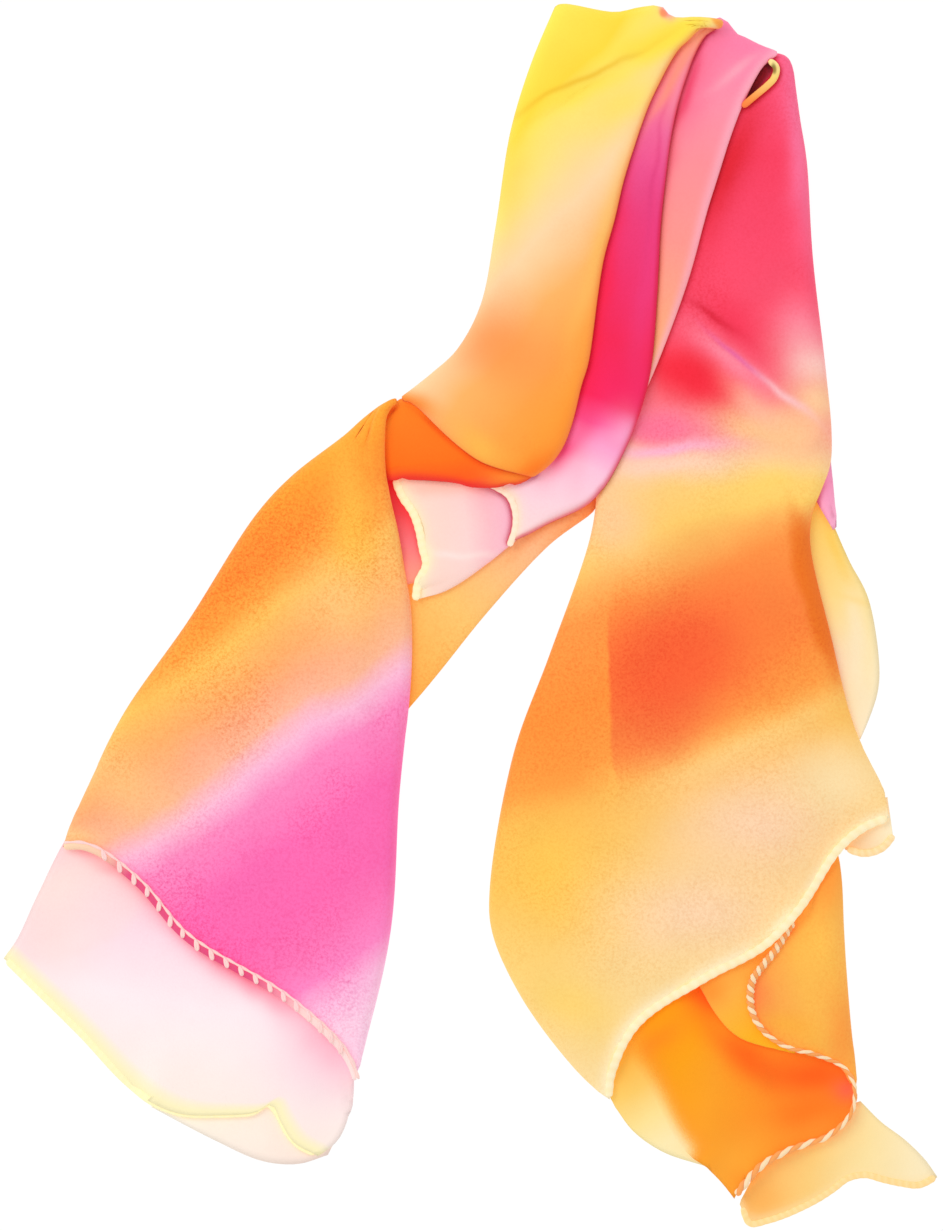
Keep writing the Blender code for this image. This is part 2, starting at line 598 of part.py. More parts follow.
def surface_mesh(name, grid):
    """An open mesh over a grid of points, faces up."""
    rows, cols = grid.shape[:2]
    index = np.arange(rows * cols).reshape(rows, cols)
    quads = np.stack([index[:-1, :-1], index[1:, :-1], index[1:, 1:], index[:-1, 1:]], axis=-1)
    if upward_sign(grid) < 0:
        quads = quads[..., ::-1]
    mesh = bpy.data.meshes.new(name)
    mesh.from_pydata((grid.reshape(-1, 3) * MM).tolist(), [], quads.reshape(-1, 4).tolist())
    mesh.shade_smooth()
    return mesh


def lay_stretch(collection, stretch, bed):
    grid = stretch_grid(stretch, bed)
    obj = add_object(collection, stretch.name, surface_mesh(stretch.name, grid), stretch.colour)
    solid = obj.modifiers.new("wall", "SOLIDIFY")
    solid.thickness = WALL * MM
    solid.offset = 1.0
    return grid + unit_normals(grid) * (WALL + MAP_SPARE)


# Hems

def hem_plan(hem, stretches):
    """Plan of a rolled hem, as points at even distances."""
    if hem.path:
        edge = smooth_curve(hem.path)
        return even_steps(edge, round(length(edge) / PATH_STEP) + 1)
    pieces = []
    for along in hem.along:
        stretch = stretches[along.stretch]
        side = ("left", "right", "start", "end").index(along.edge)
        insets = [HEM_RADIUS if finish == HEMMED else 0.0 for finish in stretch.edges]
        edge = Patch(stretch, insets).edges[side]
        pieces.append(edge[::-1] if along.reverse else edge)
    edge = even_steps(np.vstack(pieces), ALONG_HEM)
    last = ALONG_HEM - 1
    cut = edge[round(hem.begin * last):round(hem.finish * last) + 1]
    count = max(3, round(length(cut) / HEM_STEP) + 1)
    if len(pieces) == 1:
        return even_steps(cut, count)
    rounded = smooth_curve(even_steps(cut, count // 2))
    return even_steps(rounded, count)


def hem_line(hem, stretches, bed):
    """Centre line of a rolled hem, lying on what is beneath it."""
    plan = hem_plan(hem, stretches)
    fine = even_steps(plan, 8 * len(plan))
    rest = bed.rest(fine, reach=HEM_REACH)
    where = np.linspace(0.0, 1.0, len(fine))
    height = []
    for at in np.linspace(0.0, 1.0, len(plan)):
        near = np.abs(where - at) <= 1.05 / (len(plan) - 1)
        height.append(rest[near].max())
    return np.column_stack([plan, np.array(height) + HEM_RADIUS])


def lay_hem(collection, hem, line):
    curve = bpy.data.curves.new(hem.name, "CURVE")
    curve.dimensions = "3D"
    curve.bevel_depth = HEM_RADIUS * MM
    curve.bevel_resolution = 2
    curve.use_fill_caps = True
    spline = curve.splines.new("POLY")
    spline.points.add(len(line) - 1)
    for point, (x, y, z) in zip(spline.points, line):
        point.co = (x * MM, y * MM, z * MM, 1.0)
    spline.use_smooth = True
    add_object(collection, hem.name, curve, hem.colour)


def press_hem(bed, line):
    fine = even_steps(line, 16 * len(line))
    offsets = np.linspace(-HEM_RADIUS, HEM_RADIUS, HEM_DISC)
    for dx in offsets:
        for dy in offsets:
            if math.hypot(dx, dy) <= HEM_PRINT:
                bed.raise_to(fine + np.array([dx, dy, HEM_RADIUS]))


# Cores

def core_section(height_left, height_right, layers, open_amount):
    """Across a core, from its left foot over the top to its right foot: (side, inset, height) rows.

    Each hidden layer shows at the side as a rounded nose, set back from the one below it. At the
    ends the noses flatten, so that the section closes plainly."""
    nose, step = NOSE * open_amount + NOSE_LEAST, SET_BACK * open_amount + SET_BACK_LEAST
    rows = []
    for side, height in (("left", height_left), ("right", height_right)):
        flank = [(CORE_FOOT, 0.0)]
        for layer in range(layers):
            low, high = layer / layers, (layer + 1) / layers
            inset = CORE_EDGE + step * layer
            flank.append((inset, height * (NOSE_HEIGHT * high + (1 - NOSE_HEIGHT) * low)))
            flank.append((inset + nose, height * high))
        rows.append([(side, inset, z) for inset, z in flank])
    top = [("between", share, height_left * (1 - share) + height_right * share
            + CROWN * math.sin(math.pi * share)) for share in (0.25, 0.5, 0.75)]
    return rows[0] + top + rows[1][::-1]


def core_rings(core):
    patch = Patch(core)
    run = length(patch.edges[0])
    count = max(6, round(run / RING_STEP) + 1)
    rings = []
    for v in np.linspace(0.0, 1.0, count):
        line = patch.at(np.linspace(0, 1, ALONG_RING), np.full(ALONG_RING, v))
        width = length(line)
        ends = min(v, 1 - v) * run
        open_amount = min(1.0, ends / END_TAPER)
        marks = [h.at for h in core.heights]
        section = core_section(np.interp(v, marks, [h.left for h in core.heights]),
                               np.interp(v, marks, [h.right for h in core.heights]),
                               core.layers, open_amount)
        ring = []
        for place, amount, z in section:
            if place == "between":
                u = amount
            else:
                u = amount / width if place == "left" else 1.0 - amount / width
            x, y = patch.at(np.array([u]), np.array([v]))[0]
            ring.append((x, y, z))
        rings.append(ring)
    return np.array(rings)


def lay_core(collection, core, bed):
    rings = core_rings(core)
    mesh = bmesh.new()
    loops = [[mesh.verts.new([c * MM for c in point]) for point in ring] for ring in rings]
    for ring, following in zip(loops[:-1], loops[1:]):
        for k in range(len(ring)):
            n = (k + 1) % len(ring)
            mesh.faces.new([ring[k], ring[n], following[n], following[k]])
    mesh.faces.new(loops[0][::-1])
    mesh.faces.new(loops[-1])
    bmesh.ops.recalc_face_normals(mesh, faces=mesh.faces)
    data = bpy.data.meshes.new(core.name)
    mesh.to_mesh(data)
    mesh.free()
    data.shade_smooth()
    add_object(collection, core.name, data, core.colour)
    press_into(bed, rings)


def main():
    collection = clear_scene()
    bed = Bed()
    for core in CORES:
        lay_core(collection, core, bed)
    stretches = {stretch.name: stretch for stretch in STRETCHES}
    for stretch in STRETCHES:
        hems = [hem for hem in HEMS if hem.after == stretch.name]
        lines = [hem_line(hem, stretches, bed) for hem in hems]
        press_into(bed, lay_stretch(collection, stretch, bed))
        for hem, line in zip(hems, lines):
            lay_hem(collection, hem, line)
            press_hem(bed, line)


main()
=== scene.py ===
# %% [markdown]
# # A dip-dyed chiffon scarf, pleated into a band and laid over itself
# The real thing is one square of silk-like chiffon, 70 cm on a side. It is pleated lengthwise into a
# band, bent over at the top into an upside-down V and laid flat, so that what shows is a heap of long
# stretches of thin cloth, each lying on the ones before it, with rolled hems along some of their edges.
#
# The model is built the way that a person lays the scarf down: the cloth stretches are worked out one
# after another, from the lowest to the topmost, and each one rests on the heap that is already there.

# %% Tools and the fixed frame
import math
from collections import namedtuple

import bpy
import numpy as np
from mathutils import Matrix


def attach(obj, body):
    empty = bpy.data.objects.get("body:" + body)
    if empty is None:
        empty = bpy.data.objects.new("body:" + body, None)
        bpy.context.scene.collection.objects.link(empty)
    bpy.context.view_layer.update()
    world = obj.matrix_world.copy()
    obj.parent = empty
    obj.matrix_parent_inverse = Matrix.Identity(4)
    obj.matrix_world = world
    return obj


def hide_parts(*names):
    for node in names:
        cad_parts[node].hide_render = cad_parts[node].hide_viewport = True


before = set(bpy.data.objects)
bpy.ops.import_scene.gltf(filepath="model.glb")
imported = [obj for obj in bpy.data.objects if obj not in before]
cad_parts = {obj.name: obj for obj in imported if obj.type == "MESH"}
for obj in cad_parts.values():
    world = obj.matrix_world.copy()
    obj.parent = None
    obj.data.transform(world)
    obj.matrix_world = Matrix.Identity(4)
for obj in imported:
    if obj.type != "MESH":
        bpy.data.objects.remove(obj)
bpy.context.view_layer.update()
MM = 0.001

# %% [markdown]
# ## Sizes
# Chiffon is about a tenth of a millimetre thick, but one visible stretch of a pleated scarf is a few
# layers that lie together. The solids give each stretch a wall of 1 mm, with 0.3 mm to the next one.
# The cloth that shows is a thinner skin, at the top of that wall. Everything is in millimetres here,
# +X to the right, +Y up along the surface and +Z towards the eye, and is turned into metres in the mesh.

# %% Named sizes
WALL = 1.0              # room that each stretch takes up
GAP = 0.3               # clearance between stretches
SLACK = 0.12            # extra clearance for straight mesh edges
SKIN = 0.4              # thickness of the cloth that shows
CELL = 2.0              # size of one mesh cell on the cloth
HEM_RADIUS = 1.3        # rolled hem
INTO_HEM = 0.8          # cloth ends this share of the hem's radius before the hem's outer edge
HEM_STEP = 6.0          # distance between the points that a hem rests on
ROLL = 4.0              # width over which a folded edge rounds down
ROLL_SHARE = 0.3        # share of a short row that a rounded edge takes at most
ROLL_ANGLES = (90, 74, 58, 44, 31, 19, 9)     # degrees down the rounded edge, before its top
FLAT_BAND = 22.0        # a hem or a tucked edge lifts to the full loft over this width
SPAN = 19.0             # how far the cloth spans over a step beneath it
FOOT_SPAN = 6.0         # the same for the foot of a rounded edge
SURFACE = (330.0, 430.0)    # part of the surface that the heap's height map covers
HEIGHT_CELL = 0.5       # size of one cell of that map
NO_LIFT = 0.002         # cloth that has to rise by less than this is clear
PRESS_MARGIN = 0.05     # a pressed wall counts as this much thicker
SQUARE = 700.0          # side of the whole square of cloth
EDGE_POINTS, HEM_POINTS, SPAN_POINTS = 240, 400, 24     # on an edge, on a hem's plan, between two marks
TRIAL = np.linspace(0.0, 1.0, 40)       # shares at which the length of a row is measured
ROLLED, HEMMED, TUCKED, CUT = "rolled", "hemmed", "tucked", "cut"
print("one stretch and its gap take", WALL + GAP, "mm")

# %% [markdown]
# ## Lines drawn on the surface
# Each edge of a stretch is a smooth line through a few measured points. A centripetal Catmull-Rom
# spline passes through all of them, and doesn't overshoot where points lie close together.


# %% Smooth lines
UP = np.array([0.0, 0.0, 1.0])


def unit(vectors):
    """The same directions, with length 1."""
    return vectors / np.linalg.norm(vectors, axis=-1)[..., None]


def gaps(lines, axis=0):
    """Distances between neighbouring points."""
    return np.linalg.norm(np.diff(lines, axis=axis), axis=-1)


def length(line):
    """Length of a line: the sum of its gaps."""
    return float(gaps(line).sum())


def running(amounts):
    """Running total of the amounts, from 0."""
    return np.concatenate([[0.0], np.cumsum(amounts)])


def even_steps(line, count):
    """The same line, with its points at equal distances along it."""
    reach = running(gaps(line))
    wanted = np.linspace(0.0, reach[-1], count)
    return np.stack([np.interp(wanted, reach, column) for column in line.T], axis=1)


def smooth_curve(points, count=EDGE_POINTS):
    """A line through the points. Between two of them it is a blend of blends of the straight lines
    through the four nearest points, with square roots of their distances as the knots."""
    points = np.asarray(points, float)
    if len(points) == 2:
        return even_steps(points, count)
    p = np.vstack([2 * points[0] - points[1], points, 2 * points[-1] - points[-2]])
    knots = running(np.sqrt(gaps(p)))
    spans = len(p) - 3
    p0, p1, p2, p3 = (p[k:k + spans, None] for k in range(4))
    k0, k1, k2, k3 = (knots[k:k + spans, None, None] for k in range(4))
    t = k1 + (k2 - k1) * np.linspace(0.0, 1.0, SPAN_POINTS)[:, None]

    def between(a, b, at_a, at_b):
        return ((at_b - t) * a + (t - at_a) * b) / (at_b - at_a)

    early, middle, late = between(p0, p1, k0, k1), between(p1, p2, k1, k2), between(p2, p3, k2, k3)
    curve = between(between(early, middle, k0, k2), between(middle, late, k1, k3), k1, k2)
    return even_steps(curve.reshape(-1, points.shape[1]), count)


# %% [markdown]
# ## The plan of a stretch
# A stretch of cloth is bounded by four lines: left and right run down its length, and start and end
# close it. A Coons patch blends between them: the sum of the blend from left to right and the blend
# from start to end, less the blend of the four corners, which both of them hold. It gives a point for
# any two shares u (across) and v (along), so the whole plan is one array.


# %% Four edges, and the patch between them
def inward(line, centre):
    """Unit normals of a plan line, on the side where the centre lies."""
    along = np.gradient(line, axis=0)
    normal = unit(np.stack([-along[:, 1], along[:, 0]], axis=1))
    return normal * np.sign(np.sum(normal * (centre - line)))


def cut_to_meet(one, other):
    """Two lines that leave one corner, both cut back to where they come closest in their first two
    fifths. Of places that are as close, the one nearest the corner is taken."""
    a, b = one[:len(one) * 2 // 5], other[:len(other) * 2 // 5]
    apart = np.linalg.norm(a[:, None] - b[None, :], axis=-1)
    apart += 1e-4 * (np.arange(len(a))[:, None] + np.arange(len(b))[None, :])
    i, j = np.unravel_index(apart.argmin(), apart.shape)
    corner = (a[i] + b[j]) / 2
    return np.vstack([corner, one[i + 1:]]), np.vstack([corner, other[j + 1:]])


def edge_lines(stretch, insets):
    """The four edges of a stretch, each moved in by its inset and cut back to its neighbours."""
    lines = [smooth_curve(stretch.left), smooth_curve(stretch.right),
             smooth_curve([stretch.left[0], *stretch.start, stretch.right[0]]),
             smooth_curve([stretch.left[-1], *stretch.end, stretch.right[-1]])]
    centre = np.mean(np.vstack(lines), axis=0)
    left, right, start, end = [line + inward(line, centre) * inset
                               for line, inset in zip(lines, insets)]
    left, start = cut_to_meet(left, start)
    right, start = cut_to_meet(right, start[::-1])
    left, end = cut_to_meet(left[::-1], end)
    right, end = cut_to_meet(right[::-1], end[::-1])
    return [even_steps(line[::-1], EDGE_POINTS) for line in (left, right, start, end)]


def sample(line, t):
    """Points at shares t of a line."""
    steps = np.linspace(0.0, 1.0, len(line))
    return np.stack([np.interp(t, steps, column) for column in line.T], axis=-1)


def patch(edges, u, v):
    """Points of the Coons patch: across + along - corners."""
    left, right, start, end = edges
    a, b, c, d = sample(left, v), sample(right, v), sample(start, u), sample(end, u)
    u, v = u[..., None], v[..., None]
    corners = ((1 - u) * (1 - v) * left[0] + u * (1 - v) * right[0]
               + (1 - u) * v * left[-1] + u * v * right[-1])
    return (1 - u) * a + u * b + (1 - v) * c + v * d - corners


# %% [markdown]
# ## Where the mesh points go
# A folded edge rounds down to what lies beneath it, so it gets closer points there, and each point
# knows how far the edge has risen: 0 at its foot and 1 on top. Rows differ in length, so every row
# stretches its middle part and keeps its rounded edges at their full width.


# %% Stations across and along a stretch
def stations(size, first, last):
    """Shares of a size, with the rise at each: a quarter circle at a rounded edge, then even steps."""
    roll = min(ROLL, ROLL_SHARE * size) / size
    angle = np.radians(ROLL_ANGLES)
    at, rise = roll * (1 - np.sin(angle)), np.cos(angle)
    low = roll if first == ROLLED else 0.0
    high = 1.0 - roll if last == ROLLED else 1.0
    middle = np.linspace(low, high, max(4, round(size * (high - low) / CELL) + 1))
    pieces = [np.stack([middle, np.ones_like(middle)], axis=1)]
    if first == ROLLED:
        pieces.insert(0, np.stack([at, rise], axis=1))
    if last == ROLLED:
        pieces.append(np.stack([1.0 - at, rise], axis=1)[::-1])
    return np.vstack(pieces)


def refit(nominal, size, own):
    """Stations for rows of other lengths: the outer parts keep their width, the middle is scaled."""
    at, rise = nominal[:, :1], nominal[:, 1]
    low, high = nominal[rise >= 1.0, 0][[0, -1]]
    low_own = np.minimum(low * size / own, ROLL_SHARE)
    high_own = 1.0 - np.minimum((1.0 - high) * size / own, ROLL_SHARE)
    inner = low_own + (at - low) / (high - low) * (high_own - low_own)
    outer = 1.0 - (1.0 - at) / max(1.0 - high, 1e-9) * (1.0 - high_own)
    return np.where(at < low, at / max(low, 1e-9) * low_own, np.where(at > high, outer, inner))


def plan_grid(edges, finish):
    """Plan points of a stretch, how far its rounded edges have risen, and the distances of each point
    from its left, right, start and end."""
    left, right, start, end = edges
    width = np.mean(np.linalg.norm(right - left, axis=1))
    run = (length(left) + length(right)) / 2
    across, along = stations(width, *finish[:2]), stations(run, *finish[2:])
    rows = patch(edges, *np.meshgrid(TRIAL, along[:, 0], indexing="ij"))
    lines = patch(edges, *np.meshgrid(across[:, 0], TRIAL, indexing="ij"))
    u = refit(across, width, gaps(rows).sum(axis=0)[None, :])
    v = refit(along, run, gaps(lines, 1).sum(axis=1)[None, :]).T
    rise = across[:, 1][:, None] * along[:, 1][None, :]
    return patch(edges, u, v), rise, (u * width, (1 - u) * width, v * run, (1 - v) * run)


# %% [markdown]
# ## The heap
# To lay cloth on cloth, the script must know how high the heap already is at any place. A height map
# of half-millimetre cells holds that. Cloth rests a small gap above the highest thing within a
# millimetre, or on the surface itself.


# %% A height map of all that has been laid
class Heap:
    """Height of everything laid so far, over a fine grid of the surface."""

    def __init__(self):
        self.low = -np.array(SURFACE) / 2
        self.top = np.zeros([round(side / HEIGHT_CELL) + 1 for side in SURFACE])
        self.widened = {}

    def cells(self, points):
        ij = np.rint((points[..., :2] - self.low) / HEIGHT_CELL).astype(int)
        return ij[..., 0], ij[..., 1]

    def raise_to(self, points):
        """Every cell keeps the highest point that falls into it."""
        np.maximum.at(self.top, self.cells(points), points[..., 2])
        self.widened = {}

    def rest(self, points, reach=1.0):
        """Lowest height at which cloth lies clear of the heap within reach."""
        if reach not in self.widened:
            steps = math.ceil(reach / HEIGHT_CELL)
            disc = [(i, j) for i in range(-steps, steps + 1) for j in range(-steps, steps + 1)
                    if math.hypot(i, j) * HEIGHT_CELL <= reach + 0.01]
            self.widened[reach] = np.max([np.roll(self.top, by, (0, 1)) for by in disc], axis=0)
        found = self.widened[reach][self.cells(points)]
        return np.where(found > 0.0, found + GAP + SLACK, 0.0)


heap = Heap()


# %% [markdown]
# Between its points a mesh is straight, so a point grid that clears the heap can still cut into it
# halfway along a cell. The cloth is checked at places spread over each cell, and lifted where it is
# short. The same places press a finished stretch into the height map.


# %% Checking between the points
CORNERS = np.s_[:-1, :-1], np.s_[1:, :-1], np.s_[1:, 1:], np.s_[:-1, 1:]     # of each cell, in turn


def spread_over(grid, steps):
    """For a few places in each cell of the grid: the weights of its corners, and the points."""
    for s in np.linspace(0.0, 1.0, steps):
        for t in np.linspace(0.0, 1.0, steps):
            weights = ((1 - s) * (1 - t), s * (1 - t), s * t, (1 - s) * t)
            yield weights, sum(weight * grid[corner] for weight, corner in zip(weights, CORNERS))


def lifted_clear(grid, rounds=8):
    """The grid, with its points raised wherever a place between them lies too low."""
    for _ in range(rounds):
        lift = np.zeros(grid.shape[:2])
        for weights, points in spread_over(grid, 4):
            short = np.maximum(heap.rest(points) - points[..., 2], 0.0)
            for weight, corner in zip(weights, CORNERS):
                lift[corner] = np.maximum(lift[corner], short * weight / max(weights))
        if lift.max() < NO_LIFT:
            break
        grid[..., 2] += lift
    return grid


def press(grid, steps=6):
    """Add a stretch to the height map."""
    for _, points in spread_over(grid, steps):
        heap.raise_to(points)


def square_to(grid):
    """The cross product of a grid's two directions."""
    return np.cross(np.gradient(grid, axis=0), np.gradient(grid, axis=1))


def normals(grid):
    """Unit normals of a grid, turned to face up."""
    normal = unit(square_to(grid))
    return normal * np.sign(normal[..., 2].sum())


# %% [markdown]
# ## Creases and ripples
# A crease is a line on the cloth with a height and a width: a ridge, or a furrow where the height is
# negative. Its flank is a bell, or a sharper peak where it was pressed. Between the creases thin cloth
# is never quite flat, so a few long shallow waves cross it. Their directions come from a seed, and
# stay the same each time.


# %% Relief on a stretch
Crease = namedtuple("Crease", "x0 y0 x1 y1 height width sharp", defaults=(2.0,))
RIPPLE_LENGTHS = (64.0, 41.0, 27.0, 18.0)
RIPPLE_HEIGHTS = (0.30, 0.22, 0.15, 0.08)


def relief(plan, creases):
    """Sum of height * exp(-(distance from the crease / width) ^ sharp). A crease has its full height
    halfway along, and about half of it at its ends."""
    total = np.zeros(plan.shape[:-1])
    for crease in creases:
        start, end = np.array([crease.x0, crease.y0]), np.array([crease.x1, crease.y1])
        along = end - start
        t = np.clip(((plan - start) @ along) / (along @ along), 0.0, 1.0)
        away = np.linalg.norm(plan - (start + t[..., None] * along), axis=-1)
        fade = 0.35 + 0.65 * np.sin(math.pi * (0.08 + 0.84 * t))
        total += crease.height * fade * np.exp(-(away / crease.width) ** crease.sharp)
    return total


def ripples(plan, seed, amount):
    """Four crossing sine waves, each bent a little by the one before it."""
    rng = np.random.default_rng(seed)
    total = np.zeros(plan.shape[:-1])
    for wave, height in zip(RIPPLE_LENGTHS, RIPPLE_HEIGHTS):
        turn, phase = rng.uniform(0.0, math.pi), rng.uniform(0.0, math.tau)
        across = plan[..., 0] * math.cos(turn) + plan[..., 1] * math.sin(turn)
        total += height * np.sin(math.tau * across / wave + phase + 2.0 * total)
    return amount * total


# %% [markdown]
# ## The height of the cloth
# Cloth pulled over a step doesn't follow its corner: it spans it in a soft slope. Repeatedly taking
# each point as the mean of its neighbours, but never below the heap, gives that slope. The number of
# rounds goes with the square of the distance to be spanned, as it does when heat spreads.


# %% Laying a stretch on the heap
def spanned(ground, finish, span):
    """The smoothest height over the ground, with its flat edges held down on it."""
    height = ground.copy()
    held = [part for kind, part in zip(finish, (np.s_[0], np.s_[-1], np.s_[:, 0], np.s_[:, -1]))
            if kind != ROLLED]
    for _ in range(round(2 * (span / CELL) ** 2)):
        wide = np.pad(height, 1, mode="edge")
        mean = (wide[:-2, 1:-1] + wide[2:, 1:-1] + wide[1:-1, :-2] + wide[1:-1, 2:]) / 4
        height = np.maximum(ground, mean)
        for part in held:
            height[part] = ground[part]
    return height


def window(finish, distances):
    """1 inside the stretch, and an S-curve down to 0 at edges that lie flat."""
    share = np.ones(distances[0].shape)
    for kind, distance in zip(finish, distances):
        if kind != ROLLED:
            t = np.clip(distance / FLAT_BAND, 0.0, 1.0)
            share *= t * t * (3 - 2 * t)
    return share


def laid(stretch, seed):
    """Underside of a stretch: the spanned heap, plus its loft, creases and ripples, rounded down at
    the folded edges."""
    insets = [{ROLLED: WALL, HEMMED: INTO_HEM * HEM_RADIUS}.get(kind, 0.0) for kind in stretch.finish]
    plan, rise, distances = plan_grid(edge_lines(stretch, insets), stretch.finish)
    ground = heap.rest(plan)
    foot = spanned(ground, stretch.finish, FOOT_SPAN)
    top = spanned(foot, stretch.finish, SPAN)
    top += window(stretch.finish, distances) * (
        stretch.loft + relief(plan, stretch.creases) + ripples(plan, seed, stretch.ripple))
    height = foot + np.maximum(top - foot, 0.0) * rise
    return lifted_clear(np.dstack([plan, height])), distances


# %% [markdown]
# ## The stretches of cloth
# This table is the scarf: each row names a stretch, how its left, right, start and end are finished,
# its outline in millimetres, and its creases. The order is the order of laying. The cut size and its
# area are those of the flat piece of cloth that the visible stretch is, before it was laid.

# %% Table of stretches
Stretch = namedtuple("Stretch", "name finish cut area slot left right start end loft ripple creases",
                     defaults=((), (), 0.0, 0.0, ()))

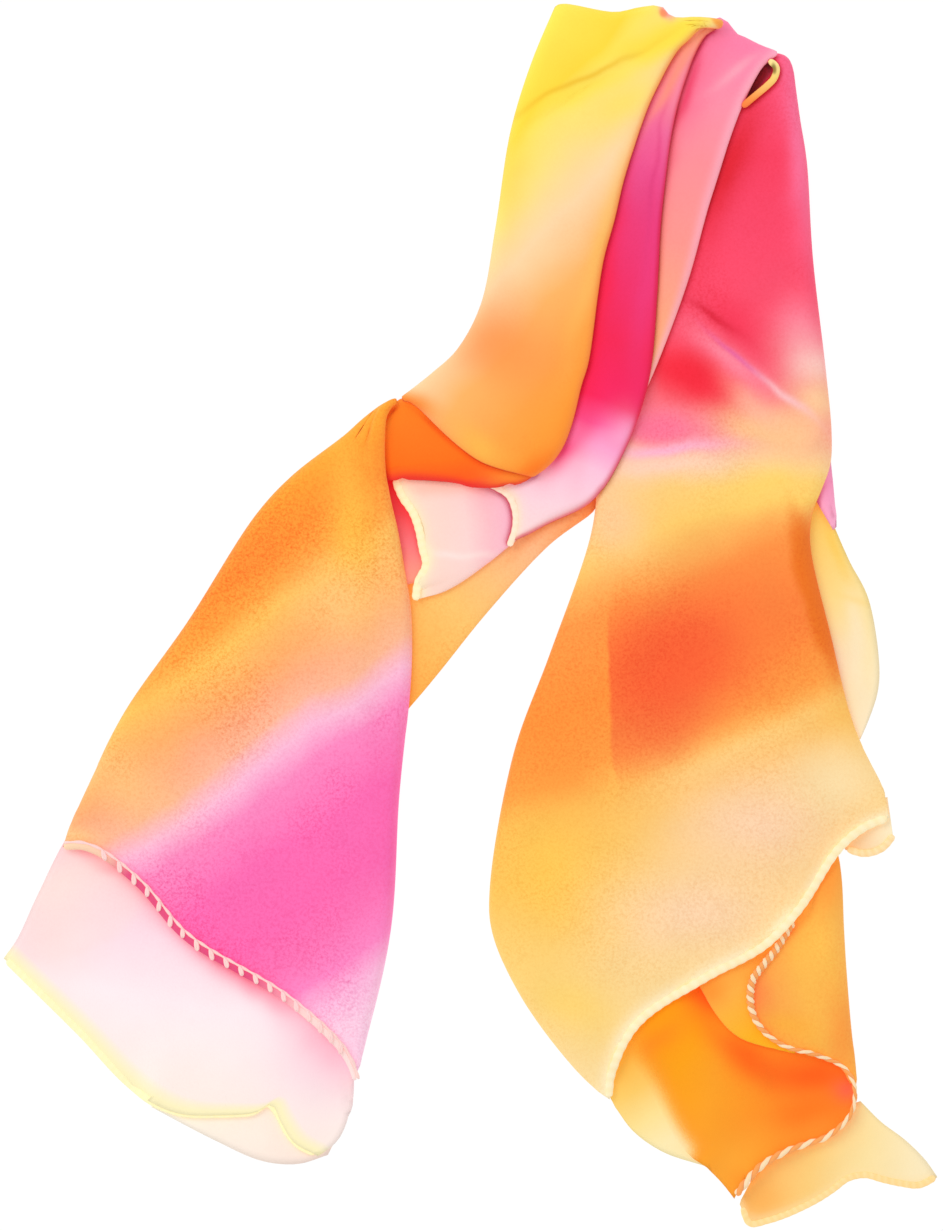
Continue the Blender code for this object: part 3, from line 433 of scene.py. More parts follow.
STRETCHES = [
    Stretch("bottom_flap", (TUCKED, CUT, TUCKED, HEMMED), cut=(66, 34), area=1500, slot="dye_pale_yellow",
            left=[(104, -170), (96, -184), (89, -197)],
            right=[(130, -162), (137, -169), (145, -175), (152, -182), (156.3, -188.3)],
            end=[(92, -203.8), (103, -202), (118, -195), (129, -188), (141, -190.4), (151, -191.2)],
            loft=0.5, ripple=0.6,
            creases=[Crease(112, -176, 128, -184, 0.5, 5), Crease(134, -172, 150, -186, 0.4, 4)]),
    Stretch("right_back_layer", (TUCKED, TUCKED, TUCKED, CUT),
            cut=(38, 72), area=2500, slot="dye_pale_yellow",
            left=[(50, -116), (45, -138), (44, -155), (48, -164)],
            right=[(88, -106), (84, -150), (79, -184)],
            end=[(54, -172), (64, -179)]),
    Stretch("right_back_flap", (TUCKED, CUT, TUCKED, CUT), cut=(24, 92), area=1500, slot="dye_pale_yellow",
            left=[(112, 46), (107, 33), (107, 22), (112, -6), (119, -31), (124, -42)],
            right=[(115.5, 46), (116.8, 40.5), (121.8, 28.8), (126.4, 18.4), (132.6, 6.2), (136.3, -16),
                   (135.8, -25.2), (132.8, -34.5), (130, -41)],
            loft=0.3, ripple=0.3,
            creases=[Crease(120, 20, 128, -30, 0.5, 3), Crease(122, 8, 134, 2, -0.3, 2.2),
                     Crease(123, -14, 136, -19, 0.3, 2.2)]),
    Stretch("right_back_sliver", (TUCKED, CUT, TUCKED, CUT), cut=(12, 30), area=250, slot="dye_pale_pink",
            left=[(113, 60), (112.5, 50), (113.5, 42.5), (117, 35.5), (120.8, 28.8)],
            right=[(119.6, 58), (120.4, 48), (121.1, 38.8), (121.8, 30)]),
    Stretch("left_under_layer", (TUCKED, CUT, TUCKED, CUT), cut=(62, 28), area=1400, slot="dye_pale_pink",
            left=[(-104, -152), (-107, -164)],
            right=[(-48, -150), (-42, -166), (-48, -180)],
            end=[(-86, -175), (-70, -182), (-58, -183)]),
    Stretch("left_back_layer", (CUT, CUT, TUCKED, HEMMED), cut=(104, 66), area=6300, slot="dye_pale_pink",
            left=[(-119, -56), (-134, -72), (-145, -93), (-152, -108), (-157, -115)],
            right=[(-50, -123), (-42, -140), (-39.5, -158), (-44, -174), (-52, -181)],
            end=[(-144, -127.8), (-130.5, -141.2), (-117.2, -155.5), (-107, -163.5), (-97.2, -167.2),
                 (-84, -167.6), (-72, -166.6), (-67.4, -164), (-64.6, -169.5), (-60, -176.5)],
            loft=0.6, ripple=0.7,
            creases=[Crease(-116, -106, -150, -118, 0.6, 4), Crease(-70, -142, -88, -160, 0.4, 7)]),
    Stretch("left_back_strip", (TUCKED, ROLLED, TUCKED, TUCKED), cut=(22, 112), area=2300, slot="dye_peach",
            left=[(30, 51), (14, 42), (-6, 28), (-28, 8), (-33, -24)],
            right=[(46, 46), (43, 37), (26, 23), (5, 0), (-11, -20), (-25, -37)],
            loft=0.5, ripple=0.3),
    Stretch("inner_back_panel", (TUCKED, CUT, TUCKED, HEMMED),
            cut=(62, 70), area=4000, slot="dye_deep_orange",
            left=[(50, -124), (50, -140), (53, -148), (58, -155), (61.5, -161.5), (64.5, -168),
                  (68.5, -175), (74, -181), (78.5, -184), (83.5, -189), (88.5, -195.5)],
            right=[(116, -106), (121, -130), (127, -153), (129, -162)],
            end=[(91, -191), (94.5, -187), (98, -184), (106, -179.5), (111.5, -177.3), (117, -175.5),
                 (122, -173.2), (125.5, -170.5), (128, -167)],
            loft=0.8, ripple=0.8,
            creases=[Crease(66, -130, 84, -182, 1.0, 7), Crease(92, -140, 108, -172, -0.5, 8),
                     Crease(76, -128, 104, -164, -0.6, 4), Crease(84, -140, 112, -166, 0.4, 3),
                     Crease(93, -148, 107, -166, -0.7, 1.3), Crease(101, -151, 110, -168, -0.6, 1.2)]),
    Stretch("inner_fold_panel", (ROLLED, TUCKED, TUCKED, TUCKED),
            cut=(42, 44), area=1300, slot="dye_orange",
            left=[(64, -108), (76, -124), (80, -131), (84.5, -137), (89.5, -141), (96, -143.5),
                  (107, -146.5)],
            right=[(102, -98), (106, -120), (112, -141)],
            loft=0.6, ripple=0.4,
            creases=[Crease(84, -116, 98, -136, 0.5, 4)]),
    Stretch("inner_front_panel", (HEMMED, ROLLED, TUCKED, CUT), cut=(36, 74), area=2100, slot="dye_orange",
            left=[(108, -93), (104, -107.5), (98.8, -112), (95, -116.3), (92.3, -121.5), (91.6, -127),
                  (93, -134), (96, -138.8), (100, -142.5), (105, -144.8), (112, -147), (119.5, -148.7),
                  (123.5, -151.2), (126.5, -155.5)],
            right=[(122, -74), (124, -84), (124.8, -104.5), (125.8, -121), (126.8, -134.5), (128.2, -148),
                   (129, -157)],
            loft=1.4, ripple=0.8,
            creases=[Crease(118, -84, 114, -140, 0.8, 6)]),
    Stretch("corner_curl", (TUCKED, ROLLED, TUCKED, HEMMED), cut=(20, 18), area=320, slot="dye_pale_yellow",
            left=[(121, -66), (125, -79)],
            right=[(140, -60), (142, -74)],
            end=[(132, -80.5), (138, -78.5)],
            loft=0.2, ripple=0.2),
    Stretch("left_inner_strip", (TUCKED, TUCKED, TUCKED, TUCKED),
            cut=(27, 42), area=1000, slot="dye_salmon",
            left=[(-35, 50), (-35, 30), (-32, 8)],
            right=[(-8, 50), (-8, 30), (-12, 13)],
            loft=0.3, ripple=0.2),
    Stretch("pale_layer", (TUCKED, ROLLED, TUCKED, HEMMED), cut=(36, 38), area=1250, slot="dye_pale_pink",
            left=[(10, 54), (-10, 52), (-27, 46)],
            right=[(16, 26), (6, 18), (-8, 8.5), (-20, 4)],
            end=[(-24, 39), (-20.5, 33.8), (-18.7, 28.5), (-18.1, 23), (-16.4, 21), (-16.4, 17.5),
                 (-17.8, 14), (-19.6, 10.5)],
            loft=0.8, ripple=0.4,
            creases=[Crease(-14, 22, 6, 20, 0.5, 3)]),
    Stretch("right_panel", (ROLLED, ROLLED, ROLLED, HEMMED), cut=(104, 330), area=27500, slot="dye_peach",
            left=[(89, 187), (78, 160), (66, 124), (52, 88), (42, 62), (42, 46), (40, 28), (26, -13),
                  (14, -46), (6, -92), (7, -106), (17, -128), (34, -151), (47, -163)],
            right=[(103, 188.3), (105.5, 186.9), (107.2, 183.5), (108.4, 176), (109.8, 166), (112, 152),
                   (114, 120), (118.6, 80), (120.2, 62), (119.9, 51), (117, 42.5), (113.8, 34), (113.2, 24),
                   (120, -6), (128, -37), (138, -58), (140.5, -68)],
            end=[(48, -153), (56, -137), (78, -122), (98, -111), (112, -96), (123, -79), (131, -72)],
            loft=1.6, ripple=1.0,
            creases=[Crease(76, 102, 116, 66, 1.4, 7), Crease(50, 40, 100, 80, 0.8, 9),
                     Crease(73, 104.5, 113, 71, -0.8, 2.4, 1.2), Crease(30, -20, 44, -120, 0.9, 10),
                     Crease(96, 10, 112, -60, 0.8, 7), Crease(70, 40, 72, -60, -0.6, 12)]),
    Stretch("salmon_band", (TUCKED, ROLLED, ROLLED, TUCKED), cut=(24, 126), area=2700, slot="dye_salmon",
            left=[(78, 199), (68, 184), (58, 160), (54, 130), (50, 100), (46, 72)],
            right=[(104, 187.8), (98, 183.8), (95, 179.5), (92, 173.5), (89.5, 167.8), (86.2, 158.8),
                   (82, 145.5), (79, 136), (72, 111), (62, 84), (54, 66)],
            start=[(84, 200.2), (86.5, 197.9), (88.6, 194.8), (91.2, 193.6), (97, 190.5)],
            loft=1.0, ripple=0.5),
    Stretch("magenta_band", (TUCKED, ROLLED, TUCKED, HEMMED), cut=(26, 190), area=4500, slot="dye_magenta",
            left=[(73, 196.5), (58, 180), (45, 150), (36, 118), (29, 84), (18, 58), (0, 45)],
            right=[(82.5, 194.6), (79.4, 193.6), (77.2, 191.6), (74.5, 187), (71.5, 179), (68.5, 169),
                   (66.3, 158), (64.8, 146), (63, 128), (62, 108), (59, 78), (51, 55), (41, 39), (24, 30),
                   (9.8, 21.8)],
            start=[(79, 198.2)],
            end=[(8.8, 41.2), (11.8, 38.8), (13.2, 34.8), (13, 28.8), (11.5, 24.5)],
            loft=0.9, ripple=0.5,
            creases=[Crease(60, 168, 54, 90, -0.8, 5)]),
    Stretch("turn_valley", (TUCKED, TUCKED, TUCKED, ROLLED),
            cut=(56, 24), area=1000, slot="dye_deep_orange",
            left=[(-27, 70.2), (-33, 58), (-33, 43.5)],
            right=[(26, 57), (21.5, 47.5)],
            start=[(-22.5, 73), (-14, 71), (8, 60)],
            end=[(-26, 44.8), (-20, 45.4), (-10, 45), (-4, 44.2), (-0.5, 43), (6, 42.7), (12.8, 43.4),
                 (17.8, 44.9)],
            loft=0.8, ripple=0.3),
    Stretch("front_fall", (ROLLED, ROLLED, ROLLED, ROLLED), cut=(44, 158), area=6600, slot="dye_yellow",
            left=[(28, 204), (20, 185), (13, 162), (8, 130), (3, 104), (-5, 89), (-13, 81.5), (-20, 76),
                  (-29, 69.5)],
            right=[(84.3, 199), (83.2, 195.9), (80, 195.7), (77.6, 195.6), (75.4, 194.7), (72.5, 191.8),
                   (69.3, 188.9), (66, 183.8), (62.6, 177.2), (59.2, 170), (54.8, 157.5), (51, 145.5),
                   (47.8, 132), (44, 118), (39, 84), (36.8, 77), (34.2, 66), (31.4, 58), (28.4, 53),
                   (24.8, 49.3), (20.5, 46.3)],
            start=[(31, 204.5), (48, 201.7), (56, 203.3), (62.3, 203.9), (64.8, 202.6), (66, 200.7),
                   (68.2, 199.8), (75, 199.8)],
            end=[(-26, 70.4), (-22, 71.8), (-18.5, 70), (-14.5, 66.2), (-10.5, 62.2), (-3.9, 56.2),
                 (2.8, 51.5), (9.5, 49), (15, 47.6)],
            loft=1.6, ripple=0.8,
            creases=[Crease(18, 163, 66, 194, -1.2, 2.4, 1.0), Crease(28, 150, 18, 84, 0.9, 9)]),
    Stretch("left_panel", (ROLLED, ROLLED, ROLLED, HEMMED), cut=(90, 220), area=14500, slot="dye_orange",
            left=[(-31.5, 70), (-37, 65.6), (-42, 61), (-60, 47), (-72, 34), (-95, -2), (-116, -32),
                  (-128, -56), (-138, -78)],
            right=[(-23, 72.2), (-26.3, 70), (-28.1, 67), (-28.8, 59), (-28.6, 50), (-27.2, 40.5),
                   (-24.5, 28.8), (-22.2, 15.5), (-20.2, 3), (-20, -18), (-24, -60), (-27, -106),
                   (-39, -158)],
            start=[(-28.8, 71.6), (-25.5, 72.9)],
            end=[(-128, -78.5), (-112, -90), (-96, -108), (-62, -129), (-44, -146)],
            loft=1.8, ripple=1.0,
            creases=[Crease(-50, 40, -96, -50, 1.0, 9), Crease(-38, 30, -44, -110, 0.9, 8),
                     Crease(-80, 0, -60, -90, -0.6, 12)]),
]
by_name = {stretch.name: stretch for stretch in STRETCHES}
print(len(STRETCHES), "stretches:", round(sum(s.area for s in STRETCHES) / 100), "cm2 of the square's",
      round(SQUARE ** 2 / 100), "show")

# %% [markdown]
# ## Colour by the names a dyer uses
# The cloth is dip-dyed: bands of dye run into each other along its length, and blooms of stronger dye
# sit on top. Each stretch gets a wash: a line along which the bands follow each other, and a few
# blooms, each an ellipse that fades outwards. Some blooms are not dye but painted shade, painted
# shadow and painted highlights, along creases and beside the edges of folds; each is marked where it
# stands. Colours are given as they look on a screen, and are turned into the linear values that light
# is worked out with.


# %% Dyes
def dye(code):
    """Linear colour of a screen colour such as "FDE455", two digits each for red, green and blue. A part
    c, from 0 to 1, becomes ((c + 0.055) / 1.055) ^ 2.4, or c / 12.92 near black."""
    screen = np.array(list(bytes.fromhex(code))) / 255
    linear = np.where(screen > 0.04045, ((screen + 0.055) / 1.055) ** 2.4, screen / 12.92)
    return (*linear.tolist(), 1.0)


Bloom = namedtuple("Bloom", "x y rx ry turn colour strength edge left", defaults=(1.0, None))
Slant = namedtuple("Slant", "x slope high low")
Wash = namedtuple("Wash", "x0 y0 x1 y1 bands blooms slant", defaults=((), None))

WASHES = {
    "bottom_flap": Wash(92, -180, 156, -186, ((0, "FDB85C"), (0.35, "FDD07C"), (0.6, "FEE3A2"),
         (1, "FEEEC8")),
        (Bloom(98, -194, 8, 8, 0, "FDB458", 0.8),)),
    "right_back_layer": Wash(47, -150, 62, -178, ((0, "FCB842"), (0.35, "FDCE68"), (0.65, "FEE396"),
         (1, "FEECB4"))),
    "right_back_flap": Wash(112, 40, 132, -40, ((0, "FDCE58"), (0.2, "FDD672"), (0.42, "FDDF8E"),
         (0.65, "FCE5AC"), (1, "FCE9C8")),
        (Bloom(129, -10, 3, 20, 0.1, "FDEAC4", 0.7), Bloom(122, 22, 2, 12, 0.35, "FDCE54", 0.6),
         Bloom(123, -16, 5, 9, 0.2, "FCE0C8", 0.5), Bloom(128, 4, 7, 1.4, -0.4, "FCD67C", 0.4),
         Bloom(135, -12, 1.6, 22, 0.05, "FDEAC0", 0.7))),
    "right_back_sliver": Wash(118, 60, 121, 30, ((0, "FCB0CE"), (0.5, "FE96BE"), (1, "FCB0CE"))),
    "left_under_layer": Wash(-104, -160, -50, -175, ((0, "FEF6E2"), (0.5, "FEEEE0"), (1, "FDE6DA"))),
    "left_back_layer": Wash(-90, -90, -104, -168, ((0, "FCCED4"), (0.25, "FDDEE8"), (0.5, "FEECF0"),
         (0.8, "FEEEE8"), (1, "FEEEE4")),
        (Bloom(-140, -100, 14, 20, 0, "FEE0DA", 0.8), Bloom(-54, -150, 15, 20, 0, "FDDEE6", 0.8),
         # FC8C9E, FC809E and FCB0C6: painted shadow on this layer, just beside the left panel's stitched
         # hem.
         Bloom(-117, -87, 24, 3.0, -0.65, "FC8C9E", 0.85),
         Bloom(-79, -117.5, 28, 4.4, -0.58, "FC809E", 0.9), Bloom(-50, -143, 20, 8.5, -0.95, "FCB0C6", 0.7),
         Bloom(-131.4, -100.5, 25, 10, 0.44, "FCDCDB", 0.55, 4.0),
         Bloom(-136, -88, 26, 7, 0.3, "FDE0D8", 0.6))),
    "left_back_strip": Wash(44, 42, -30, -30, ((0, "F4742A"), (0.12, "FC9E5C"), (0.3, "FDBE8A"),
         (0.6, "FDC66E"), (1, "FFAE3C")),
        (Bloom(24, 30, 16, 2.2, 0.72, "FE8C3C", 0.5),)),
    "inner_back_panel": Wash(60, -152, 118, -168, ((0, "FD9C08"), (0.15, "FDA20C"), (0.35, "FEA222"),
         (0.6, "FE9824"), (1, "FE922C")),
        # FF5810, FF600E and FF5C0E: painted shade, deep orange-red, under the rolled edge of the inner fold
        # and under the loose hem.
        (Bloom(78, -126, 7, 9, 0.6, "FF5810", 0.9), Bloom(92, -146, 16, 6, -0.62, "FF600E", 0.85),
         Bloom(114, -153, 17, 8, -0.1, "FF5C0E", 0.9), Bloom(126, -158, 5, 4, 0, "FD6254", 0.8),
         Bloom(113, -165, 15, 6, 0.2, "FF7616", 0.8), Bloom(88, -184, 13, 9, 0.6, "FDAA34", 0.8),
         Bloom(60, -143, 12, 4, 0.7, "FF8A14", 0.7))),
    "inner_fold_panel": Wash(82, -116, 96, -138, ((0, "FCA03E"), (0.35, "FDB446"), (1, "FDB41E")),
        (Bloom(80, -124, 5, 6, 0, "FE8C2A", 0.7),)),
    "inner_front_panel": Wash(92, -118, 126, -112, ((0, "FC8746"), (0.2, "FDA84B"), (0.5, "FDBA4E"),
         (0.8, "FDC454"), (1, "FCBA54")),
        (Bloom(107, -101, 4, 11, -0.55, "FC843E", 0.75), Bloom(119, -87, 7, 15, -0.3, "FA9234", 0.8),
         Bloom(124, -142, 7, 22, 0.08, "FC983E", 0.85), Bloom(104, -138, 12, 5, -0.3, "FDB23A", 0.7))),
    "corner_curl": Wash(124, -70, 142, -70, ((0, "FCCB96"), (1, "FDEECA"))),
    "left_inner_strip": Wash(-20, 44, -26, 10, ((0, "E21E28"), (0.3, "F04850"), (0.6, "F87880"),
         (1, "FCA88C"))),
    "pale_layer": Wash(-18, 30, 14, 34, ((0, "FDDAC8"), (0.5, "FDD6D2"), (0.75, "FCC2CA"), (1, "FCBCD0")),
        # FDBEAA: painted shadow under the rolled edge of the turn valley.
        (Bloom(-5, 20.5, 14, 1.2, 0, "FEE6E0", 0.6), Bloom(-12, 44, 12, 3, 0, "FDBEAA", 0.7))),
    "right_panel": Wash(83, 185.5, 56, -161, ((0, "FA5A82"), (0.087, "F63E5F"), (0.163, "FB486A"),
         (0.231, "FA4E6C"), (0.279, "FC5C76"), (0.327, "FD7682"), (0.352, "FE9696"), (0.376, "FDC0A5"),
         (0.404, "FDD1A0"), (0.433, "FDCF7C"), (0.475, "FDCB68"), (0.505, "FCB058"), (0.535, "FC9A46"),
         (0.615, "FE943A"), (0.673, "FD9E42"), (0.705, "FDBE58"), (0.76, "FDC862"), (0.81, "FDD17A"),
         (0.865, "FDD690"), (1, "FDDFA2")),
        # E21E2D: painted shadow, deeper crimson, beside the salmon band's rolled edge.
        (Bloom(85.5, 150, 6, 26, -0.353, "E21E2D", 0.9), Bloom(110, 155.5, 4.5, 36, 0.108, "FD7AA5", 0.75),
         # F62E50: painted shade on the side above the diagonal crease.
         Bloom(88, 98, 17, 6.5, -0.76, "F62E50", 0.75), Bloom(110, 95, 7, 9, 0.3, "FE829B", 0.8),
         Bloom(113, 84, 10, 8, -0.6, "FECCC4", 0.9), Bloom(114, 71, 10, 9, -0.5, "FDCE9C", 0.9),
         Bloom(62, 64, 21, 7.5, -0.2, "FC749A", 0.9, 1.4),
         Bloom(99, 62, 20, 8.5, -0.2, "FDC88E", 0.95, 1.4), Bloom(92, 71, 12, 4.5, -0.6, "FDBA9E", 0.75),
         Bloom(72.5, 80, 17, 8.6, -0.62, "F72038", 0.95, 1.5),
         # Along the diagonal crease: DE1C38 and E860A0 are painted shade lines, and FE90A6 and FEC6C8
         # painted highlights on its ridge.
         Bloom(85, 86.2, 15, 3.6, -0.69, "FE90A6", 0.75), Bloom(80, 101, 11, 1.6, -0.6, "DE1C38", 0.8),
         Bloom(89, 86.2, 12, 1.1, -0.71, "E860A0", 0.8), Bloom(104, 73.6, 12, 1.3, -0.7, "FEC6C8", 0.8),
         Bloom(64, 55.4, 19, 2.6, 0.05, "FCB4D4", 0.85), Bloom(66, 49.5, 22, 3.6, 0, "FDD2C0", 0.7),
         Bloom(98, 44, 22, 8, 0.2, "FDD468", 0.8), Bloom(46, 32, 12, 12, 0, "FDCC9E", 0.7),
         Bloom(24.5, -38, 16, 24, 0.25, "FE9236", 0.5),
         Bloom(82, -6, 43, 23, 0.45, "FC7A3A", 0.75, 2.2, 47.8),
         Bloom(60, -37, 23, 14, 0.5, "F8743A", 0.75, 1.5, 47.8),
         Bloom(66, -16, 27, 19, 0.5, "F95830", 0.8, 1.7, 47.8),
         Bloom(92, -42, 34, 4.5, 0.46, "FDD07C", 0.65), Bloom(96, -68, 30, 19, 0.3, "FCD4B4", 0.85),
         Bloom(123, -54.5, 16, 12, 0, "FDE1AC", 0.85), Bloom(27, -88, 18, 24, 0, "FEC850", 0.8),
         Bloom(32, -128, 22, 12, -0.6, "FDD46C", 0.8), Bloom(74, -99, 25, 13, 0, "FCD5B0", 0.85),
         # EE7216: darker orange strip by the right edge, partly a double layer seen through the cloth and
         # partly painted fold shade.
         Bloom(114.5, 8, 5.2, 28, 0.25, "EE7216", 0.9, 3.0),
         # 780008: painted shadow, near black red, in the hollow inside the gold loop.
         Bloom(96.6, 178.2, 7.5, 2.3, 0.93, "780008", 0.96, 3.0)), Slant(48, 0.47, 58, 28)),
    "salmon_band": Wash(91, 189, 61, 82, ((0, "FC80A8"), (0.15, "FE8EA8"), (0.35, "FF8F98"),
         (0.6, "FF968E"), (0.8, "FFA584"), (1, "FFB478")),
        # FA6A8E, EE3A66 and F46E82: painted shadow beside the magenta band's edge. FFACBC: a painted
        # highlight.
        (Bloom(75.5, 176, 18, 4.6, 1.24, "FA6A8E", 0.55), Bloom(72.2, 174.5, 19, 1.9, 1.26, "EE3A66", 0.85),
         Bloom(68, 152, 14, 1.6, 1.42, "F46E82", 0.6), Bloom(88, 181.5, 9, 1.6, 0.55, "FFACBC", 0.6))),
    "magenta_band": Wash(78, 194, 9.5, 25.5, ((0, "FCA07D"), (0.08, "FA8E8C"), (0.19, "F26C9C"),
         (0.27, "EC508E"), (0.36, "EA3C7A"), (0.47, "EE2E68"), (0.58, "F22254"), (0.69, "F62260"),
         (0.735, "FA5496"), (0.775, "FC9ECA"), (0.82, "FCC2DA"), (0.9, "FDD4DE"), (1, "FCDCD6")),
        (Bloom(44, 104, 3.6, 40, -0.16, "F61E46", 0.7), Bloom(59.5, 118, 4, 36, -0.1, "E83A7E", 0.6),
         # D83676: a thin line of painted shade along the rolled right edge.
         Bloom(62.5, 150, 24, 1.0, 1.42, "D83676", 0.4), Bloom(30.5, 55.5, 9, 4, 0.95, "F83478", 0.85),
         Bloom(50, 61, 7, 6, 0.9, "FCB0D4", 0.7), Bloom(66, 177, 15, 1.8, 1.1, "FC9676", 0.6),
         Bloom(70.5, 178, 10, 1.6, 1.24, "FA84A8", 0.6))),
    # Towards the lower edge these bands deepen to red: painted shade where the cloth rolls under. The deep
    # orange itself is the dye.
    "turn_valley": Wash(-20, 72, -16, 43, ((0, "FC8820"), (0.35, "FF7C1C"), (0.7, "FF7012"),
         (0.92, "FF5612"), (1, "F63226")),
        (Bloom(16, 49, 11, 6, 0.3, "FE9630", 0.9),)),
    "front_fall": Wash(26.2, 199, 101.5, 133, ((0, "FDE455"), (0.18, "FDD83E"), (0.22, "FDE25F"),
         (0.30, "FDE07D"), (0.38, "FDD896"), (0.45, "FDD5A5"), (0.53, "FDC88E"), (0.62, "FCB464"),
         (0.78, "FDA244"), (0.9, "FE9C36"), (1, "FE8E2A")),
        (Bloom(66, 194.5, 24, 5.5, 0.4, "FDE042", 0.95, 1.5), Bloom(9, 91, 19, 13, -0.3, "FD8E42", 0.75),
         Bloom(9.5, 149, 8, 18, 0, "FDD455", 0.7), Bloom(45, 130, 3.5, 38, -0.28, "FCC05F", 0.5),
         Bloom(50, 170, 17, 7, 0.62, "FDE05C", 0.75), Bloom(36, 173.5, 26, 3.6, 0.54, "FDDE42", 0.6),
         # F0BC2C: painted shade along the diagonal crease.
         Bloom(35, 176.9, 25, 1.1, 0.54, "F0BC2C", 0.75), Bloom(21, 49.5, 8, 4, 0.6, "FF781C", 0.8),
         Bloom(-24, 72.5, 13, 4.2, -0.5, "FC9228", 0.95, 1.4), Bloom(2, 57, 9, 4, -0.6, "FDBA4C", 0.7),
         Bloom(65.9, 203.2, 2.4, 3.4, 0.4, "F782A0", 0.9, 1.3),
         Bloom(64.5, 202.1, 1.5, 1.6, 0.4, "FC8E5C", 0.9, 2.0),
         Bloom(83.4, 198, 3.2, 1.6, -1.0, "FA9E34", 0.9, 2.0))),
    "hem_fold_loop": Wash(101, 186, 91, 169, ((0, "FCE8A0"), (0.3, "FAD678"), (0.55, "FDBE69"),
         (0.8, "FD9648"), (1, "FC8040")),
        # 7A7030 and CD5414: painted shade where the gold loop turns over, beside its hollow.
        (Bloom(101.3, 181.6, 0.8, 2.0, 0, "7A7030", 0.9, 2.0),
         Bloom(97, 177.2, 5, 0.7, 0.75, "CD5414", 0.8))),
    "left_panel": Wash(-47.2, 62.2, 47.8, -74.5, ((0.03, "FEA532"), (0.13, "FE9432"), (0.20, "FEA541"),
         (0.24, "FDC25C"), (0.32, "FCAE6A"), (0.37, "FCAE82"), (0.42, "FCB898"), (0.445, "FCBABE"),
         (0.475, "FCBCD8"), (0.5, "FCA8D0"), (0.53, "FC8AC2"), (0.64, "FC6CB4"), (0.76, "FC6AB2"),
         (0.82, "FC74B6"), (0.89, "FC87C4"), (0.94, "FCB9DC"), (1, "FDD0E6")),
        (Bloom(-40, 29, 7, 26, 0.1, "FEC048", 0.85), Bloom(-25.5, 19, 5, 20, 0, "FCC06C", 0.6),
         Bloom(-74, 22, 15, 9, 0.7, "FE8E34", 0.8), Bloom(-116, -54, 18, 11, -0.6, "FCC47E", 0.75),
         Bloom(-42, 4, 15, 13, 0.4, "FDCA80", 0.65), Bloom(-132, -73, 9, 4, 0, "FDD08C", 0.7))),
}
print(len(WASHES), "washes,", sum(len(w.blooms) for w in WASHES.values()), "blooms")

# %% [markdown]
# ## Shader maths written as Python
# A material is a graph of nodes. Written with one small class, the maths in it reads as maths: a Wire
# is one value in the graph, and adding or multiplying Wires adds the Math nodes.


# %% A wire in a material
def operator(operation, reflected=False):
    """A method of Wire that adds a Math node. Reflected, the Wire is the second value: 1 - wire."""
    def method(self, other):
        return self.math(operation, *((other, self) if reflected else (self, other)))
    return method


class Wire:
    """One output in a material, on which +, -, * and ** add Math nodes."""
    __add__ = __radd__ = operator("ADD")
    __mul__ = __rmul__ = operator("MULTIPLY")
    __sub__ = operator("SUBTRACT")
    __rsub__ = operator("SUBTRACT", reflected=True)
    __pow__ = operator("POWER")

    def __init__(self, tree, socket):
        self.tree, self.socket = tree, socket

    def node(self, kind, settings=None, inputs=None, out=0):
        """Any node: its settings are made first, then the values or links of its sockets. A colour is
        given as its screen code."""
        made = self.tree.nodes.new("ShaderNode" + kind)
        for key, value in (settings or {}).items():
            if key == "stops":
                ramp = made.color_ramp.elements
                for at, code in value[1:-1]:
                    ramp.new(at).color = dye(code)
                for element, (at, code) in zip((ramp[0], ramp[-1]), (value[0], value[-1])):
                    element.position, element.color = at, dye(code)
            else:
                setattr(made, key, value)
        for key, value in (inputs or {}).items():
            if isinstance(value, Wire):
                self.tree.links.new(value.socket, made.inputs[key])
            else:
                made.inputs[key].default_value = dye(value) if isinstance(value, str) else value
        return Wire(self.tree, made.outputs[out] if len(made.outputs) else None)

    def math(self, operation, *values):
        return self.node("Math", {"operation": operation}, dict(enumerate(values)))

    def vector(self, operation, *values, out=0):
        return self.node("VectorMath", {"operation": operation}, dict(enumerate(values)), out)

    def dot(self, other):
        """Sum of the products of the parts, such as the part along an axis."""
        return self.vector("DOT_PRODUCT", self, other, out=1)

    def scaled(self, share):
        """A vector or a colour times one value."""
        return self.node("VectorMath", {"operation": "SCALE"}, {0: self, "Scale": share})

    def over(self, colour, below):
        """This value as the share of a colour laid over another."""
        return self.node("Mix", {"data_type": "RGBA"}, {0: self, 6: below, 7: colour}, out=2)


def start_material(name):
    """A new material with its place on the cloth in millimetres, as a Wire."""
    made = bpy.data.materials.new(name)
    made.use_nodes = True
    tree = made.node_tree
    tree.nodes.clear()
    place = Wire(tree, tree.nodes.new("ShaderNodeTexCoord").outputs["Object"])
    return made, place.vector("MULTIPLY", place, (1 / MM, 1 / MM, 1 / MM))


# %% [markdown]
# ## Dyed chiffon
# Dye creeps along the threads, so its fronts are never straight: the place at which the wash is read
# is pushed about by a soft noise. The weave is a crepe of twisted yarn, which shows as a fine grain in
# both colour and relief. The cloth is matt, with a faint bright edge where it turns away, which sheen
# gives. Light is also painted in: the cloth glows a little in its own colour, in place of light
# through the thin cloth, and shade is painted into the crevices between the folds of the bend.

